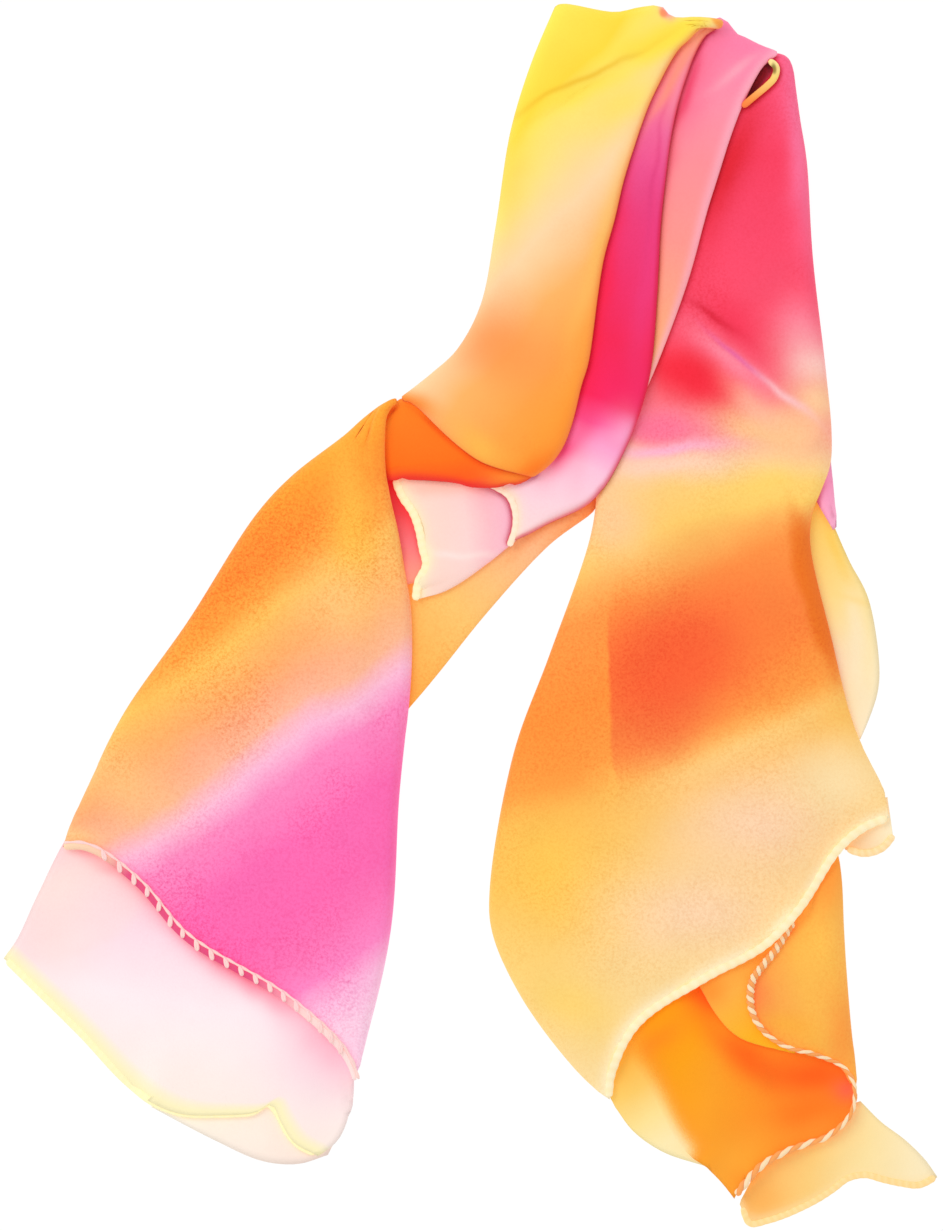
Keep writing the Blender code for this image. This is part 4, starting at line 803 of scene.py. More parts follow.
# %% The wash, the grain and the finish
ACROSS, ALONG = (1, 0, 0), (0, 1, 0)
CREEP = 5.0             # how far dye creeps past its line
SWAY = 30.0             # size of the noise that decides where it does
CUT_SOFT = 0.8          # half the width over which a bloom is cut off on its left
GRAIN = 0.9             # size of the crepe grain
MOTTLE = 16.0           # size of the cloudy patches in the dye
CRISP = 38.0            # size of the patches in which the crepe shows more or less
GRAIN_RELIEF = 0.00006  # metres
PAINTED_GLOW = 0.16             # painted glow: the cloth gives off this share of its own colour, in place of light coming through it from the white surface
CREVICE = 0.0024        # metres: how close another fold has to be for painted shade to come in
CREVICE_SHADE = 0.95    # how strong that painted shade is
CREVICE_Y, CREVICE_Z = (15, 30), (1.2, 2.6)     # it comes in over these: up the scarf, and in height


def noise(place, size, detail=2.0, roughness=0.5, out=0):
    """Soft noise whose blobs are about size across, in millimetres: a value near 0.5, or a colour."""
    return place.node("TexNoise", {}, {"Vector": place, "Scale": 1 / size, "Detail": detail,
                                       "Roughness": roughness}, out)


def stepped(value, low, high, start=0.0, end=1.0):
    """An S-curve from start to end while the value goes from low to high."""
    return value.node("MapRange", {"interpolation_type": "SMOOTHSTEP"},
                      {0: value, 1: low, 2: high, 3: start, 4: end})


CREPE = {"left_panel": 1.1, "right_panel": 0.6, "left_back_strip": 0.6, "inner_front_panel": 0.4}
Fade = namedtuple("Fade", "side width colour strength sheer until sharp", defaults=(0.0, 0.0, 2.0))
FADES = {
    "right_panel": [Fade("end", 3.6, "FEF0CB", 0.95)],
    "left_back_layer": [Fade("end", 4.6, "FEF3C0", 0.95, sharp=5.0)],
    "pale_layer": [Fade("end", 3.4, "FDF0C4", 0.95)],
    # The magenta band's right fade, DE1642, is painted shade where its edge rolls down.
    "magenta_band": [Fade("end", 3.0, "FDE8C4", 0.9), Fade("right", 0.9, "DE1642", 0.75)],
    "bottom_flap": [Fade("end", 2.6, "FDE2AA", 0.7)],
    "inner_back_panel": [Fade("left", 5.6, "FDC846", 0.7, 1.0, 14.0)],
    "left_panel": [Fade("end", 1.5, "D84678", 0.45)],
    # The salmon band's right fade, FFB6C8, is a painted highlight along its rolled edge.
    "salmon_band": [Fade("right", 1.6, "FFB6C8", 0.7)],
    # The front fall's right fade, FA9646, is a painted shadow line along its rolled edge.
    "front_fall": [Fade("right", 0.8, "FA9646", 0.7)],
    # The turn valley's end fade, EE2C2C, is painted shade where it rolls under.
    "turn_valley": [Fade("end", 1.2, "EE2C2C", 0.85)],
    "left_back_strip": [Fade("left", 2.0, "F07828", 0.6)],
}
FADE_END = 5.0          # length over which such a colour stops before the end of its edge
SIDES = ("left", "right", "start", "end")


def washed(place, wash):
    """Colour of the wash: the share of the way along its line picks the band, and each bloom is laid
    over it with the weight strength * exp(-(ellipse distance ^ 2) ^ edge). Below a slant the bands
    rise to the right."""
    sway = place.vector("SUBTRACT", noise(place, SWAY, out=1), (0.5, 0.5, 0.5))
    place = place.vector("MULTIPLY_ADD", sway, (CREEP * 2, CREEP * 2, 0.0), place)
    dx, dy = wash.x1 - wash.x0, wash.y1 - wash.y0
    size = dx * dx + dy * dy
    share = place.dot((dx / size, dy / size, 0.0)) - (wash.x0 * dx + wash.y0 * dy) / size
    if wash.slant:
        x, y = place.dot(ACROSS), place.dot(ALONG)
        below = stepped(y, wash.slant.low, wash.slant.high, 1.0, 0.0)
        share = share - (x - wash.slant.x) * below * (wash.slant.slope * dy / size)
    colour = place.node("ValToRGB", {"stops": wash.bands}, {0: share})
    for bloom in wash.blooms:
        inside = place.node("Mapping", {"vector_type": "TEXTURE"},
                            {"Vector": place, "Location": (bloom.x, bloom.y, 0.0),
                             "Rotation": (0.0, 0.0, bloom.turn), "Scale": (bloom.rx, bloom.ry, 1e4)})
        away = inside.dot(inside)
        if bloom.edge != 1.0:
            away = away ** bloom.edge
        weight = place.math("EXPONENT", away * -1.0) * bloom.strength
        if bloom.left is not None:
            weight = weight * stepped(place.dot(ACROSS), bloom.left - CUT_SOFT, bloom.left + CUT_SOFT)
        colour = weight.over(bloom.colour, colour)
    return colour


def cloth_finish(made, place, colour, relief_height=None, crepe=0.15, alpha=1.0, painted_glow=PAINTED_GLOW):
    """Matt cloth: the dye is deeper between the threads (the colour times itself) and paler on them,
    more so in some patches, and goes up and down a few per cent in clouds. The grain is also a relief,
    and the cloth has a little sheen. It also gives off a little of its own colour: a painted glow, in
    place of light coming through the thin cloth."""
    grain = noise(place, GRAIN, detail=2.0, roughness=0.75)
    cloud = noise(place, MOTTLE)
    crisp = stepped(noise(place, CRISP), 0.42, 0.62, 0.4 * crepe, crepe)
    colour = ((0.56 - grain) * crisp * 2.0).over(colour.vector("MULTIPLY", colour, colour), colour)
    value = 1.0 + (grain - 0.5) * crisp * 0.35 + (cloud - 0.5) * 0.08
    shaded = colour.scaled(value)
    height = grain if relief_height is None else relief_height + grain * 0.4
    bump = place.node("Bump", {}, {"Strength": 1.0, "Distance": GRAIN_RELIEF, "Height": height})
    rough = 0.82 + (cloud - 0.5) * 0.12
    # The emission is a painted glow: the cloth gives off its own shaded colour, in place of light through
    # the thin cloth.
    shader = place.node("BsdfPrincipled", {}, {
        "Base Color": shaded, "Roughness": rough, "Normal": bump, "Alpha": alpha,
        "Specular IOR Level": 0.15, "Sheen Weight": 0.08, "Sheen Roughness": 0.6,
        "Emission Color": shaded, "Emission Strength": painted_glow})
    place.node("OutputMaterial", {}, {"Surface": shader})
    return made


def crevice_shade(place, colour, strength):
    """Painted shade between the folds of the bend: where ambient occlusion finds another fold near, the
    colour is laid over with the colour times itself, a little darker."""
    open_sky = place.node("AmbientOcclusion", {"samples": 8}, {"Distance": CREVICE}, out=1)
    y, z = place.dot(ALONG), place.dot(UP)
    # painted shade: darker where another fold is near, between the folds of the bend
    tucked = (stepped(open_sky, 0.62, 0.97, strength, 0.0)
              * stepped(y, *CREVICE_Y) * stepped(z, *CREVICE_Z))
    return tucked.over(colour.vector("MULTIPLY", colour, colour).scaled(0.7), colour)


def chiffon(name, wash, fades=(), tucked=0.0):
    """A dyed chiffon for one stretch, with the colours along its edges laid over its wash: hem colours,
    and on some edges painted shade and painted highlights. An edge that is sheer also lets through what
    lies beneath it. With tucked, shade is painted into the crevices between folds."""
    made, place = start_material("chiffon_" + name)
    colour, alpha = washed(place, wash), 1.0
    for fade in fades:
        near = place.node("Attribute", {"attribute_name": "near_" + fade.side}, out=2)
        colour = (near * fade.strength).over(fade.colour, colour)
        if fade.sheer:
            alpha = 1.0 - near * fade.sheer
    if tucked:
        colour = crevice_shade(place, colour, tucked)
    return cloth_finish(made, place, colour, crepe=CREPE.get(name, 0.12), alpha=alpha)


# %% [markdown]
# ## From arrays to objects
# A grid of points becomes an open mesh with its faces up, and Solidify gives it the thickness of the
# cloth. Every piece rides on the object's one body, stands for the solid of the same stretch, and takes
# the material that it is given.


# %% Meshes and pieces
def in_scene(name, data):
    """An object that holds the data, linked into the scene."""
    made = bpy.data.objects.new(name, data)
    bpy.context.scene.collection.objects.link(made)
    return made


def near_attribute(piece, name, share):
    """Stores a share for each point, which the material reads as near_name."""
    near = piece.data.attributes.new("near_" + name, "FLOAT", "POINT")
    near.data.foreach_set("value", share.astype(np.float32).ravel())


def new_piece(name, points, faces, material, node=None, uv=None):
    """An object from points in millimetres. uv is one pair for each corner of each face."""
    mesh = bpy.data.meshes.new(name)
    mesh.from_pydata((np.asarray(points) * MM).tolist(), [], faces)
    if uv is not None:
        layer = mesh.uv_layers.new(name="thread")
        layer.data.foreach_set("uv", np.asarray(uv, np.float32).ravel())
    mesh.shade_smooth()
    mesh.materials.append(material)
    piece = in_scene(name, mesh)
    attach(piece, "root")
    if node:
        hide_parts(node)
    return piece


def grid_faces(grid):
    """The cells of a grid as faces, wound so that they face up."""
    rows, columns = grid.shape[:2]
    index = np.arange(rows * columns).reshape(rows, columns)
    quads = np.stack([index[corner] for corner in CORNERS], axis=-1)
    if square_to(grid)[..., 2].sum() < 0:
        quads = quads[..., ::-1]
    return quads.reshape(-1, 4).tolist()


def cloth_piece(stretch, grid, distances):
    """The skin of a stretch: low where it lies on the surface, and at the top of its wall above. Each
    point also holds exp(-(distance from a side / width) ^ sharp) for the colours along its edges, down to
    where a fade ends before the cloth does."""
    points = grid + normals(grid) * (WALL - SKIN) * np.clip(grid[..., 2:], 0.0, 1.0)
    fades = FADES.get(stretch.name, ())
    piece = new_piece(stretch.name + "_cloth", points.reshape(-1, 3), grid_faces(grid),
                      chiffon(stretch.name, WASHES[stretch.name], fades, CREVICE_SHADE),
                      stretch.name)
    for fade in fades:
        share = np.exp(-(distances[SIDES.index(fade.side)] / fade.width) ** fade.sharp)
        if fade.until:
            share *= np.clip((distances[3] - fade.until) / FADE_END, 0.0, 1.0)
        near_attribute(piece, fade.side, share)
    wall = piece.modifiers.new("thickness", "SOLIDIFY")
    wall.thickness, wall.offset = SKIN * MM, 1.0
    return piece


# %% [markdown]
# ## The hidden layers
# Under the stretches that show lies the rest of the scarf, a few layers thick. It is seen only from
# the side, as rounded folds set back one above another. Each heap is a profile carried along a patch:
# on both flanks a row of half-round noses, and between them a gently domed top. Shade is painted
# into the crevices between the noses, where little light gets in: their colour is darker there.

# %% Table of hidden heaps
Heaped = namedtuple("Heaped", "name left right start end heights layers slot")
HEAPED = [
    Heaped("core_upper",
           left=[(28, 202), (20, 184), (12, 156), (8, 128), (4, 106), (0, 94), (-7, 86), (-14, 80)],
           right=[(106, 183), (111, 150), (115, 105), (119, 70), (119, 60)],
           start=[(66, 199)],
           end=[(2, 62), (24, 56), (60, 60)],
           heights=[(0.0, 4.5, 3.5), (0.2, 6.5, 4.5), (0.7, 7.0, 4.8), (1.0, 4.0, 3.5)],
           layers=3, slot="dye_salmon"),
    Heaped("core_left",
           left=[(-31, 67), (-52, 52), (-67, 40), (-85, 12), (-107, -20), (-122, -44)],
           right=[(-31, 60), (-38, 30), (-36, -10), (-30, -50), (-29, -80), (-34, -112)],
           start=[],
           end=[(-96, -68), (-62, -96)],
           heights=[(0.0, 3.2, 3.2), (0.25, 6.0, 5.5), (0.7, 5.5, 5.5), (1.0, 2.4, 2.4)],
           layers=3, slot="dye_orange"),
    Heaped("core_right",
           left=[(45, 53), (41, 26), (27, -14), (13, -57), (7.5, -92), (8, -104), (13, -116)],
           right=[(109, 56), (105, 30), (109, 0), (116, -34), (112, -48), (104, -60)],
           start=[(80, 57)],
           end=[(44, -108), (78, -94)],
           heights=[(0.0, 4.0, 3.5), (0.3, 5.5, 4.2), (0.7, 6.5, 4.2), (1.0, 2.6, 2.4)],
           layers=3, slot="dye_peach"),
]
RING_STEP = 5.0         # distance between the rings of a heap
NOSE = 1.5              # how far a fold's nose stands out
SET_BACK = 1.9          # how far each fold lies in from the one below
LEAST = 0.3, 0.4        # what is added to both, and stays of them at the closed ends
FOOT_IN = 0.2           # how far the lowest fold lies in from the outline
DOME = 0.5              # how much higher the middle of a top is
END_TAPER = 14.0        # length over which the folds open at the ends
NOSE_TURN = np.radians(np.linspace(-90, 90, 7))    # round a nose, from its foot to its top
ON_TOP = np.linspace(0.1, 0.9, 9)       # places across a top, as shares of it


# %% Heaps of hidden layers
def flank(height, layers, opening):
    """Insets and heights up one flank: a half circle for each layer, each set back from the last."""
    layer, opening = np.arange(layers)[:, None], opening[:, None, None]
    inset = (FOOT_IN + (SET_BACK * opening + LEAST[1]) * layer
             + (NOSE * opening + LEAST[0]) * (1 - np.cos(NOSE_TURN)))
    z = height[:, None, None] * (layer + 0.5 + 0.5 * np.sin(NOSE_TURN)) / layers
    return inset.reshape(len(height), -1), z.reshape(len(height), -1)


def heap_rings(heaped):
    """Rings of a heap: left flank, domed top and right flank, at even steps along its patch. Each
    point also says how deep it lies between two folds, from 0 on a nose to 1 in a crevice."""
    edges = edge_lines(heaped, (0.0,) * 4)
    run = length(edges[0])
    v = np.linspace(0.0, 1.0, max(8, round(run / RING_STEP) + 1))
    rows = patch(edges, *np.meshgrid(TRIAL, v, indexing="ij"))
    width = gaps(rows).sum(axis=0)[:, None]
    opening = np.minimum(1.0, np.minimum(v, 1 - v) * run / END_TAPER)
    marks, left, right = (np.array(column) for column in zip(*heaped.heights))
    left, right = np.interp(v, marks, left), np.interp(v, marks, right)
    in_left, z_left = flank(left, heaped.layers, opening)
    in_right, z_right = flank(right, heaped.layers, opening)
    low, high = in_left[:, -1:] / width, 1 - in_right[:, -1:] / width
    crevice = np.tile(1 - np.cos(NOSE_TURN), heaped.layers)
    crevice = np.concatenate([crevice, np.zeros(len(ON_TOP)), crevice[::-1]])
    u = np.hstack([in_left / width, low + (high - low) * ON_TOP, (1 - in_right / width)[:, ::-1]])
    top = left[:, None] * (1 - ON_TOP) + right[:, None] * ON_TOP + DOME * np.sin(math.pi * ON_TOP)
    z = np.hstack([z_left, top, z_right[:, ::-1]])
    plan = patch(edges, u, np.repeat(v[:, None], u.shape[1], axis=1))
    return np.dstack([plan, z]), np.broadcast_to(crevice, z.shape)


def closed_rings(rings):
    """Faces of a closed body from its rings, with both ends capped, facing outwards."""
    count, around = rings.shape[:2]
    index = np.arange(count * around).reshape(count, around)
    following = np.roll(index, -1, axis=1)
    quads = np.stack([index[:-1], following[:-1], following[1:], index[1:]], axis=-1).reshape(-1, 4)
    faces = quads.tolist() + [index[0][::-1].tolist(), index[-1].tolist()]
    a, b, c, d = (rings.reshape(-1, 3)[quads[:, k]] for k in range(4))
    if np.sum(np.cross(b - a, c - a) * a) + np.sum(np.cross(c - a, d - a) * a) < 0:
        faces = [face[::-1] for face in faces]
    return faces


CORE_WASHES = {"core_left": WASHES["left_panel"], "core_right": WASHES["right_panel"],
               "core_upper": Wash(8, 150, 116, 150, (
                   (0, "FDD054"), (0.25, "FDBA5C"), (0.5, "FC9668"), (0.75, "FA6E78"), (1, "F64868")))}
for heaped in HEAPED:
    rings, crevice = heap_rings(heaped)
    # The crevice fade lays painted shade, dark red D6422C, into the crevices between the noses.
    core = new_piece(heaped.name + "_layers", rings.reshape(-1, 3), closed_rings(rings),
                     chiffon(heaped.name, CORE_WASHES[heaped.name],
                             [Fade("crevice", 0.0, "D6422C", 0.75)]), heaped.name)
    near_attribute(core, "crevice", crevice)
    press(rings, steps=12)
    print(heaped.name, "rises to", round(float(rings[..., 2].max()), 1), "mm")

# %% [markdown]
# ## Hems
# Chiffon is hemmed by rolling its raw edge into a thin cord and whipping thread over it. A hem is a
# profile carried along a line that rests on the heap. It is laid out before its own cloth, so that the
# cloth can run into it at the same height.


# %% Lines for the hems
Hem = namedtuple("Hem", "name on begin finish along path", defaults=(0.0, 1.0, (), ()))
HEMS = [
    Hem("hem_bottom_flap", "bottom_flap", 0.02, 0.99),
    Hem("hem_left_back", "left_back_layer", 0.01, 0.99),
    Hem("hem_inner", "inner_front_panel", 0.06, 0.99,
        along=(("inner_front_panel", "left", False), ("inner_back_panel", "end", True))),
    Hem("hem_pale_layer", "pale_layer", 0.02, 0.98),
    Hem("hem_corner_curl", "corner_curl", 0.04, 0.98),
    Hem("hem_right_panel", "right_panel", 0.01, 0.99),
    Hem("hem_fold_loop", "salmon_band", path=(
        (99.2, 185.4), (101.1, 184), (101.6, 181.2), (100.2, 178.5), (97.4, 175.9), (93.7, 172.8),
        (90.2, 169.8))),
    Hem("hem_magenta_band", "magenta_band", 0.03, 0.98),
    Hem("hem_left_panel", "left_panel", 0.01, 0.99),
]
HEM_FINE = 0.6          # distance between rings along a hem
PATH_STEP = 0.6         # the points of a hem with its own path rest this much closer together


def hem_plan(hem):
    """Plan of a hem, cut to its begin and finish: the end of its stretch, or two edges that meet."""
    if hem.path:
        return smooth_curve(hem.path)
    pieces = []
    for name, side, reverse in hem.along or ((hem.on, "end", False),):
        insets = [HEM_RADIUS if kind == HEMMED else 0.0 for kind in by_name[name].finish]
        edge = edge_lines(by_name[name], insets)[SIDES.index(side)]
        pieces.append(edge[::-1] if reverse else edge)
    line = even_steps(np.vstack(pieces), HEM_POINTS)
    line = line[round(hem.begin * (HEM_POINTS - 1)):round(hem.finish * (HEM_POINTS - 1)) + 1]
    if len(pieces) > 1:
        line = smooth_curve(even_steps(line, max(3, round(length(line) / HEM_STEP / 2))))
    return line


def hem_line(hem):
    """Centre line of a hem: at each of its stations it rests on the highest place nearby, and a smooth
    curve joins the stations."""
    plan = hem_plan(hem)
    step = PATH_STEP * HEM_STEP if hem.path else HEM_STEP
    plan = even_steps(plan, max(4, round(length(plan) / step) + 1))
    fine = even_steps(plan, 8 * len(plan))
    rest = heap.rest(fine, reach=HEM_RADIUS + 0.3)
    where, at = np.linspace(0, 1, len(fine)), np.linspace(0, 1, len(plan))
    near = np.abs(where[None, :] - at[:, None]) <= 1.05 / (len(plan) - 1)
    height = np.where(near, rest[None, :], 0.0).max(axis=1) + HEM_RADIUS
    return smooth_curve(np.column_stack([plan, height]), max(8, round(length(plan) / HEM_FINE)))


def press_hem(line):
    """Add a hem to the height map: its top, over a disc of its own radius."""
    fine = even_steps(line, 4 * len(line))
    offsets = np.linspace(-HEM_RADIUS, HEM_RADIUS, 7)
    for dx in offsets:
        for dy in offsets:
            if math.hypot(dx, dy) <= HEM_RADIUS + 0.1:
                heap.raise_to(fine + (dx, dy, HEM_RADIUS))


# %% [markdown]
# ## Laying the scarf
# Now the heap is built up in order: the hem's line is found, the cloth is laid and pressed into the
# height map, and then its hem.

# %% Lay every stretch
cloth, hem_lines = {}, {}
for seed, stretch in enumerate(STRETCHES):
    own_hems = [hem for hem in HEMS if hem.on == stretch.name]
    lines = [hem_line(hem) for hem in own_hems]
    grid, distances = laid(stretch, seed)
    cloth[stretch.name] = cloth_piece(stretch, grid, distances)
    press(grid + normals(grid) * (WALL + PRESS_MARGIN))
    for hem, line in zip(own_hems, lines):
        hem_lines[hem.name] = line
        press_hem(line)
    print(f"{stretch.name}: {grid.shape[0]} x {grid.shape[1]} points, up to {grid[..., 2].max():.1f} mm")


# %% [markdown]
# ## A profile carried along a line
# Hems, threads and stitches are all tubes. At each point of the line the profile's first axis is level
# and square to the line, and its second is square to both, so the tube never twists by itself: any
# twist is put in on purpose, in the profile.


# %% Tubes
AROUND = 14             # corners of a hem's profile
END_RINGS = 3           # a tube closes over this many rings


def carried(lines, wide, high, corners=AROUND, closed=False):
    """Points and faces of tubes. lines is (tubes, points, 3). The profile at each point is an oval of
    half width wide and half height high, whose corners go round from the level axis."""
    ahead = unit(np.roll(lines, -1, 1) - np.roll(lines, 1, 1) if closed else np.gradient(lines, axis=1))
    side = unit(np.cross(ahead, UP))
    over = np.cross(side, ahead)
    turn = np.arange(corners) * math.tau / corners
    points = (lines[:, :, None] + (wide * np.cos(turn))[..., None] * side[:, :, None]
              + (high * np.sin(turn))[..., None] * over[:, :, None])
    tubes, count, around = points.shape[:3]
    index = np.arange(tubes * count * around).reshape(tubes, count, around)
    ahead_index, here = (np.roll(index, -1, 1), index) if closed else (index[:, 1:], index[:, :-1])
    quads = np.stack([here, ahead_index, np.roll(ahead_index, -1, 2), np.roll(here, -1, 2)], axis=-1)
    faces = quads.reshape(-1, 4).tolist()
    if not closed:
        faces += [row.tolist() for row in index[:, 0]] + [row[::-1].tolist() for row in index[:, -1]]
    return points.reshape(-1, 3), faces


def rounded_ends(count):
    """Share of the full profile along a tube: it closes in a quarter circle at both ends."""
    ends = np.minimum(np.arange(count), np.arange(count)[::-1])
    return np.sqrt(1 - (1 - np.clip((ends + 0.4) / END_RINGS, 0, 1)) ** 2)


def thread_uv(phase):
    """For each corner of each face of a hem: how far round the profile, and the phase along it. The
    two end faces come last, and hold zeros."""
    u = np.linspace(0, 1, AROUND + 1)
    a, b, here, ahead = np.broadcast_arrays(u[None, :-1], u[None, 1:], phase[:-1, None], phase[1:, None])
    corners = np.stack([np.stack([a, here], -1), np.stack([a, ahead], -1),
                        np.stack([b, ahead], -1), np.stack([b, here], -1)], axis=2)
    return np.vstack([corners.reshape(-1, 2), np.zeros((2 * AROUND, 2))])


# %% [markdown]
# ## Finishes of the hems
# Rolled hems here are of two kinds. Most are whipped flat with cream thread, close together, so that
# they read as a pale soft cord. One is whipped loosely: the thread runs round the roll in long turns,
# so cream and dyed cloth take turns along it, like a rope of two strands.


# %% Whipped and twisted hems
RIM_AT = 0.97           # place of the painted shadow line on a hem's outer side, as a share of the way round
THREAD_SLANT = 0.5      # how many stitches along a thread gets while it goes round
HEM_PAINTED_GLOW = 0.22         # painted glow of the hems: they give off more of their own colour, in place of light through the thin threads


def on_thread(place):
    """How far round its hem a place is, as a share, and how many stitches along."""
    split = place.node("SeparateXYZ", {}, {0: place.node("UVMap", {"uv_map": "thread"})})
    return split, Wire(place.tree, split.socket.node.outputs[1])


def whipped(name, base, tint, rim):
    """A pale whipped hem: fine slanting threads, lighter on their tops and darker between. The rim colour,
    if given, is painted shadow laid along the hem's outer side."""
    made, place = start_material("hem_" + name)
    around, turns = on_thread(place)
    ridge = place.math("SINE", (turns + around * THREAD_SLANT) * math.tau) * 0.5 + 0.5
    colour = (ridge * 0.35 + noise(place, size=4.0) * 0.3).over(base, tint)
    if rim:
        # painted shadow: the rim colour is laid on the outer side of the hem
        outer = place.math("COSINE", (around - RIM_AT) * math.tau)
        colour = stepped(outer, 0.35, 0.85).over(rim, colour)
    return cloth_finish(made, place, colour, relief_height=ridge, painted_glow=HEM_PAINTED_GLOW)


def twisted(name, strand, cloth_colour, gap):
    """A two-strand rope: a cream strand and a dyed one, with a dark line of painted shade where they meet.
    """
    made, place = start_material("hem_" + name)
    around, turns = on_thread(place)
    lobe = place.math("COSINE", (around - turns) * math.tau)
    share = stepped(lobe, -0.35, 0.15)
    # painted shade: a dark line in the groove where the two strands meet
    dark = stepped(place.math("ABSOLUTE", lobe + 0.1), 0.0, 0.3, 0.8, 0.0)
    colour = dark.over(gap, share.over(strand, cloth_colour))
    return cloth_finish(made, place, colour, relief_height=share)


# %% [markdown]
# ## The hems themselves
# A flat whipped hem is an ellipse, wider than it is high, that swells a little with each stitch. The
# loose one has two lobes that turn as they go along. Both get the number of turns as the second
# coordinate of their UV map, so that the colour follows the shape.

# %% Flat whipped hems
FlatHem = namedtuple("FlatHem", "name width height pitch scallop base tint rim slot",
                     defaults=(None, None, None, "hem_cream"))
FLAT_HEMS = [
    FlatHem("hem_bottom_flap", 2.2, 0.9, 2.4, 0.04, "FDE4AC", "FDD48C"),
    FlatHem("hem_left_back", 2.4, 0.7, 2.6, 0.0, "FEF5C8", "FEF2BC"),
    FlatHem("hem_pale_layer", 2.8, 1.2, 2.6, 0.05, "FEF3CD", "FDECBA"),
    FlatHem("hem_corner_curl", 2.4, 1.4, 2.4, 0.04, "FDE8BE", "FCD496"),
    FlatHem("hem_right_panel", 2.8, 1.7, 3.6, 0.06, "FCF1D0", "FAE5B2"),
    FlatHem("hem_fold_loop", 2.3, 1.6, 2.4, 0.0, slot="dye_yellow"),
    # The magenta band's hem has a painted shadow line, CD3C5A, on its outer side.
    FlatHem("hem_magenta_band", 2.6, 1.2, 2.6, 0.05, "FDECD6", "FBE2C6", "CD3C5A"),
]
hem_pieces = {}
for flat in FLAT_HEMS:
    line = hem_lines[flat.name]
    along = np.linspace(0.0, length(line), len(line))
    swell = 1 + flat.scallop * np.cos(math.tau * along / flat.pitch)
    size = (swell * rounded_ends(len(line)))[:, None] / 2
    resting = line - UP * (HEM_RADIUS - flat.height / 2)
    points, faces = carried(resting[None], flat.width * size, flat.height * size)
    hem_pieces[flat.name] = new_piece(
        flat.name + "_whipped", points, faces,
        chiffon(flat.name, WASHES[flat.name]) if flat.name in WASHES
        else whipped(flat.name, flat.base, flat.tint, flat.rim),
        flat.name, thread_uv(along / flat.pitch))
    print(flat.name, round(length(line)), "mm long")

# %% The loose hem, turning like a rope
LOBE = 0.22             # how far the two lobes stand out, as a share of the radius
line = hem_lines["hem_inner"]
along = np.linspace(0.0, 1.0, len(line))
marks = (0.0, 0.22, 0.34, 0.62, 0.72, 1.0)
pitch = np.interp(along, marks, (3.2, 3.4, 6.6, 7.0, 7.6, 8.0))
radius = np.interp(along, marks, (1.2, 1.2, 0.75, 0.68, 0.9, 1.2)) * rounded_ends(len(line))
turns = running(length(line) / (len(line) - 1) / pitch[1:])
spin = np.arange(AROUND) * math.tau / AROUND - math.tau * turns[:, None]
lobes = radius[:, None] * (1 + LOBE * np.cos(2 * spin))
points, faces = carried(line[None], lobes, lobes)
hem_pieces["hem_inner"] = new_piece(
    "hem_inner_twisted", points, faces, twisted("hem_inner", "FDE0B6", "FAA65C", "E2763E"),
    "hem_inner", thread_uv(turns))
print("the loose hem makes", round(float(turns[-1])), "turns")

# %% [markdown]
# ## The stitched hem of the left panel
# This hem is sewn by machine: a thread lies along the inner side of the roll, and from it a loop drops
# over the roll at every stitch, like the teeth of a comb. The loops are one closed curve, a drop that
# is narrow at the thread and round at its tip, set down again and again along the hem.

# %% Roll, thread and loops
STITCH_PITCH = 5.4      # mean distance from one loop to the next
THREAD = 0.5            # radius of the sewing thread
ROLL_RISE = 1.15        # half the height of the roll
HUMP = 1.75             # half the width of the hump that a loop rides over
CLOSER = 0.13           # share by which the loops get closer towards the end
LOOP_POINTS, THREAD_AROUND = 18, 6
CHAIN_AT = -1.25, 0.75  # where the long thread lies: beside the middle of the roll, and above it
BEAT = 0.25             # how much thicker it is at each stitch, as a share
ROLL_WASH = Wash(-138, -78, -39, -158, (
    (0, "FAD6B2"), (0.1, "FACCB0"), (0.19, "E85482"), (0.6, "E85080"), (0.7, "F896AA"),
    (0.78, "FCDAD4"), (1, "FDE4E0")))
line = hem_lines["hem_left_panel"]
taper = np.interp(np.linspace(0, 1, len(line)), (0, 0.88, 1), (1, 1, 0.6))
roll_size = (rounded_ends(len(line)) * taper)[:, None]
points, faces = carried(line[None], HEM_RADIUS * roll_size, ROLL_RISE * roll_size)
hem_pieces["hem_left_panel"] = new_piece(
    "hem_left_panel_roll", points, faces, chiffon("left_roll", ROLL_WASH), "hem_left_panel")


# %% Threads on a hem
def stitch_loops(line, share, inner, reach, width, lean):
    """Drops along the share of a line, a little closer towards its end, leaning over by an angle. Round
    the angle t, a drop is reach * (1 - cos t) / 2 out along its own axis and
    width * sin t * sin(t / 2) beside it, and it rides over the round roll."""
    count = int(length(line) * (share[1] - share[0]) / STITCH_PITCH)
    t = np.linspace(0, 1, count)
    at = share[0] + (share[1] - share[0]) * (t * (1 + CLOSER) - t * t * CLOSER)
    centre, ahead = sample(line, at), unit(sample(np.gradient(line, axis=0), at))
    side = np.cross(ahead, UP)
    t = np.linspace(0, math.tau, LOOP_POINTS, endpoint=False)
    size = np.random.default_rng(7).uniform(0.85, 1.1, (count, 1))
    out, beside_it = reach * size * (1 - np.cos(t)) / 2, width * size * np.sin(t) * np.sin(t / 2)
    across = inner + out * math.cos(lean) - beside_it * math.sin(lean)
    forward = out * math.sin(lean) + beside_it * math.cos(lean)
    over = ROLL_RISE * np.sqrt(np.clip(1 - (across / HUMP) ** 2, 0.0, 1.0)) + THREAD
    return (centre[:, None] + across[..., None] * side[:, None] + forward[..., None] * ahead[:, None]
            + over[..., None] * UP)


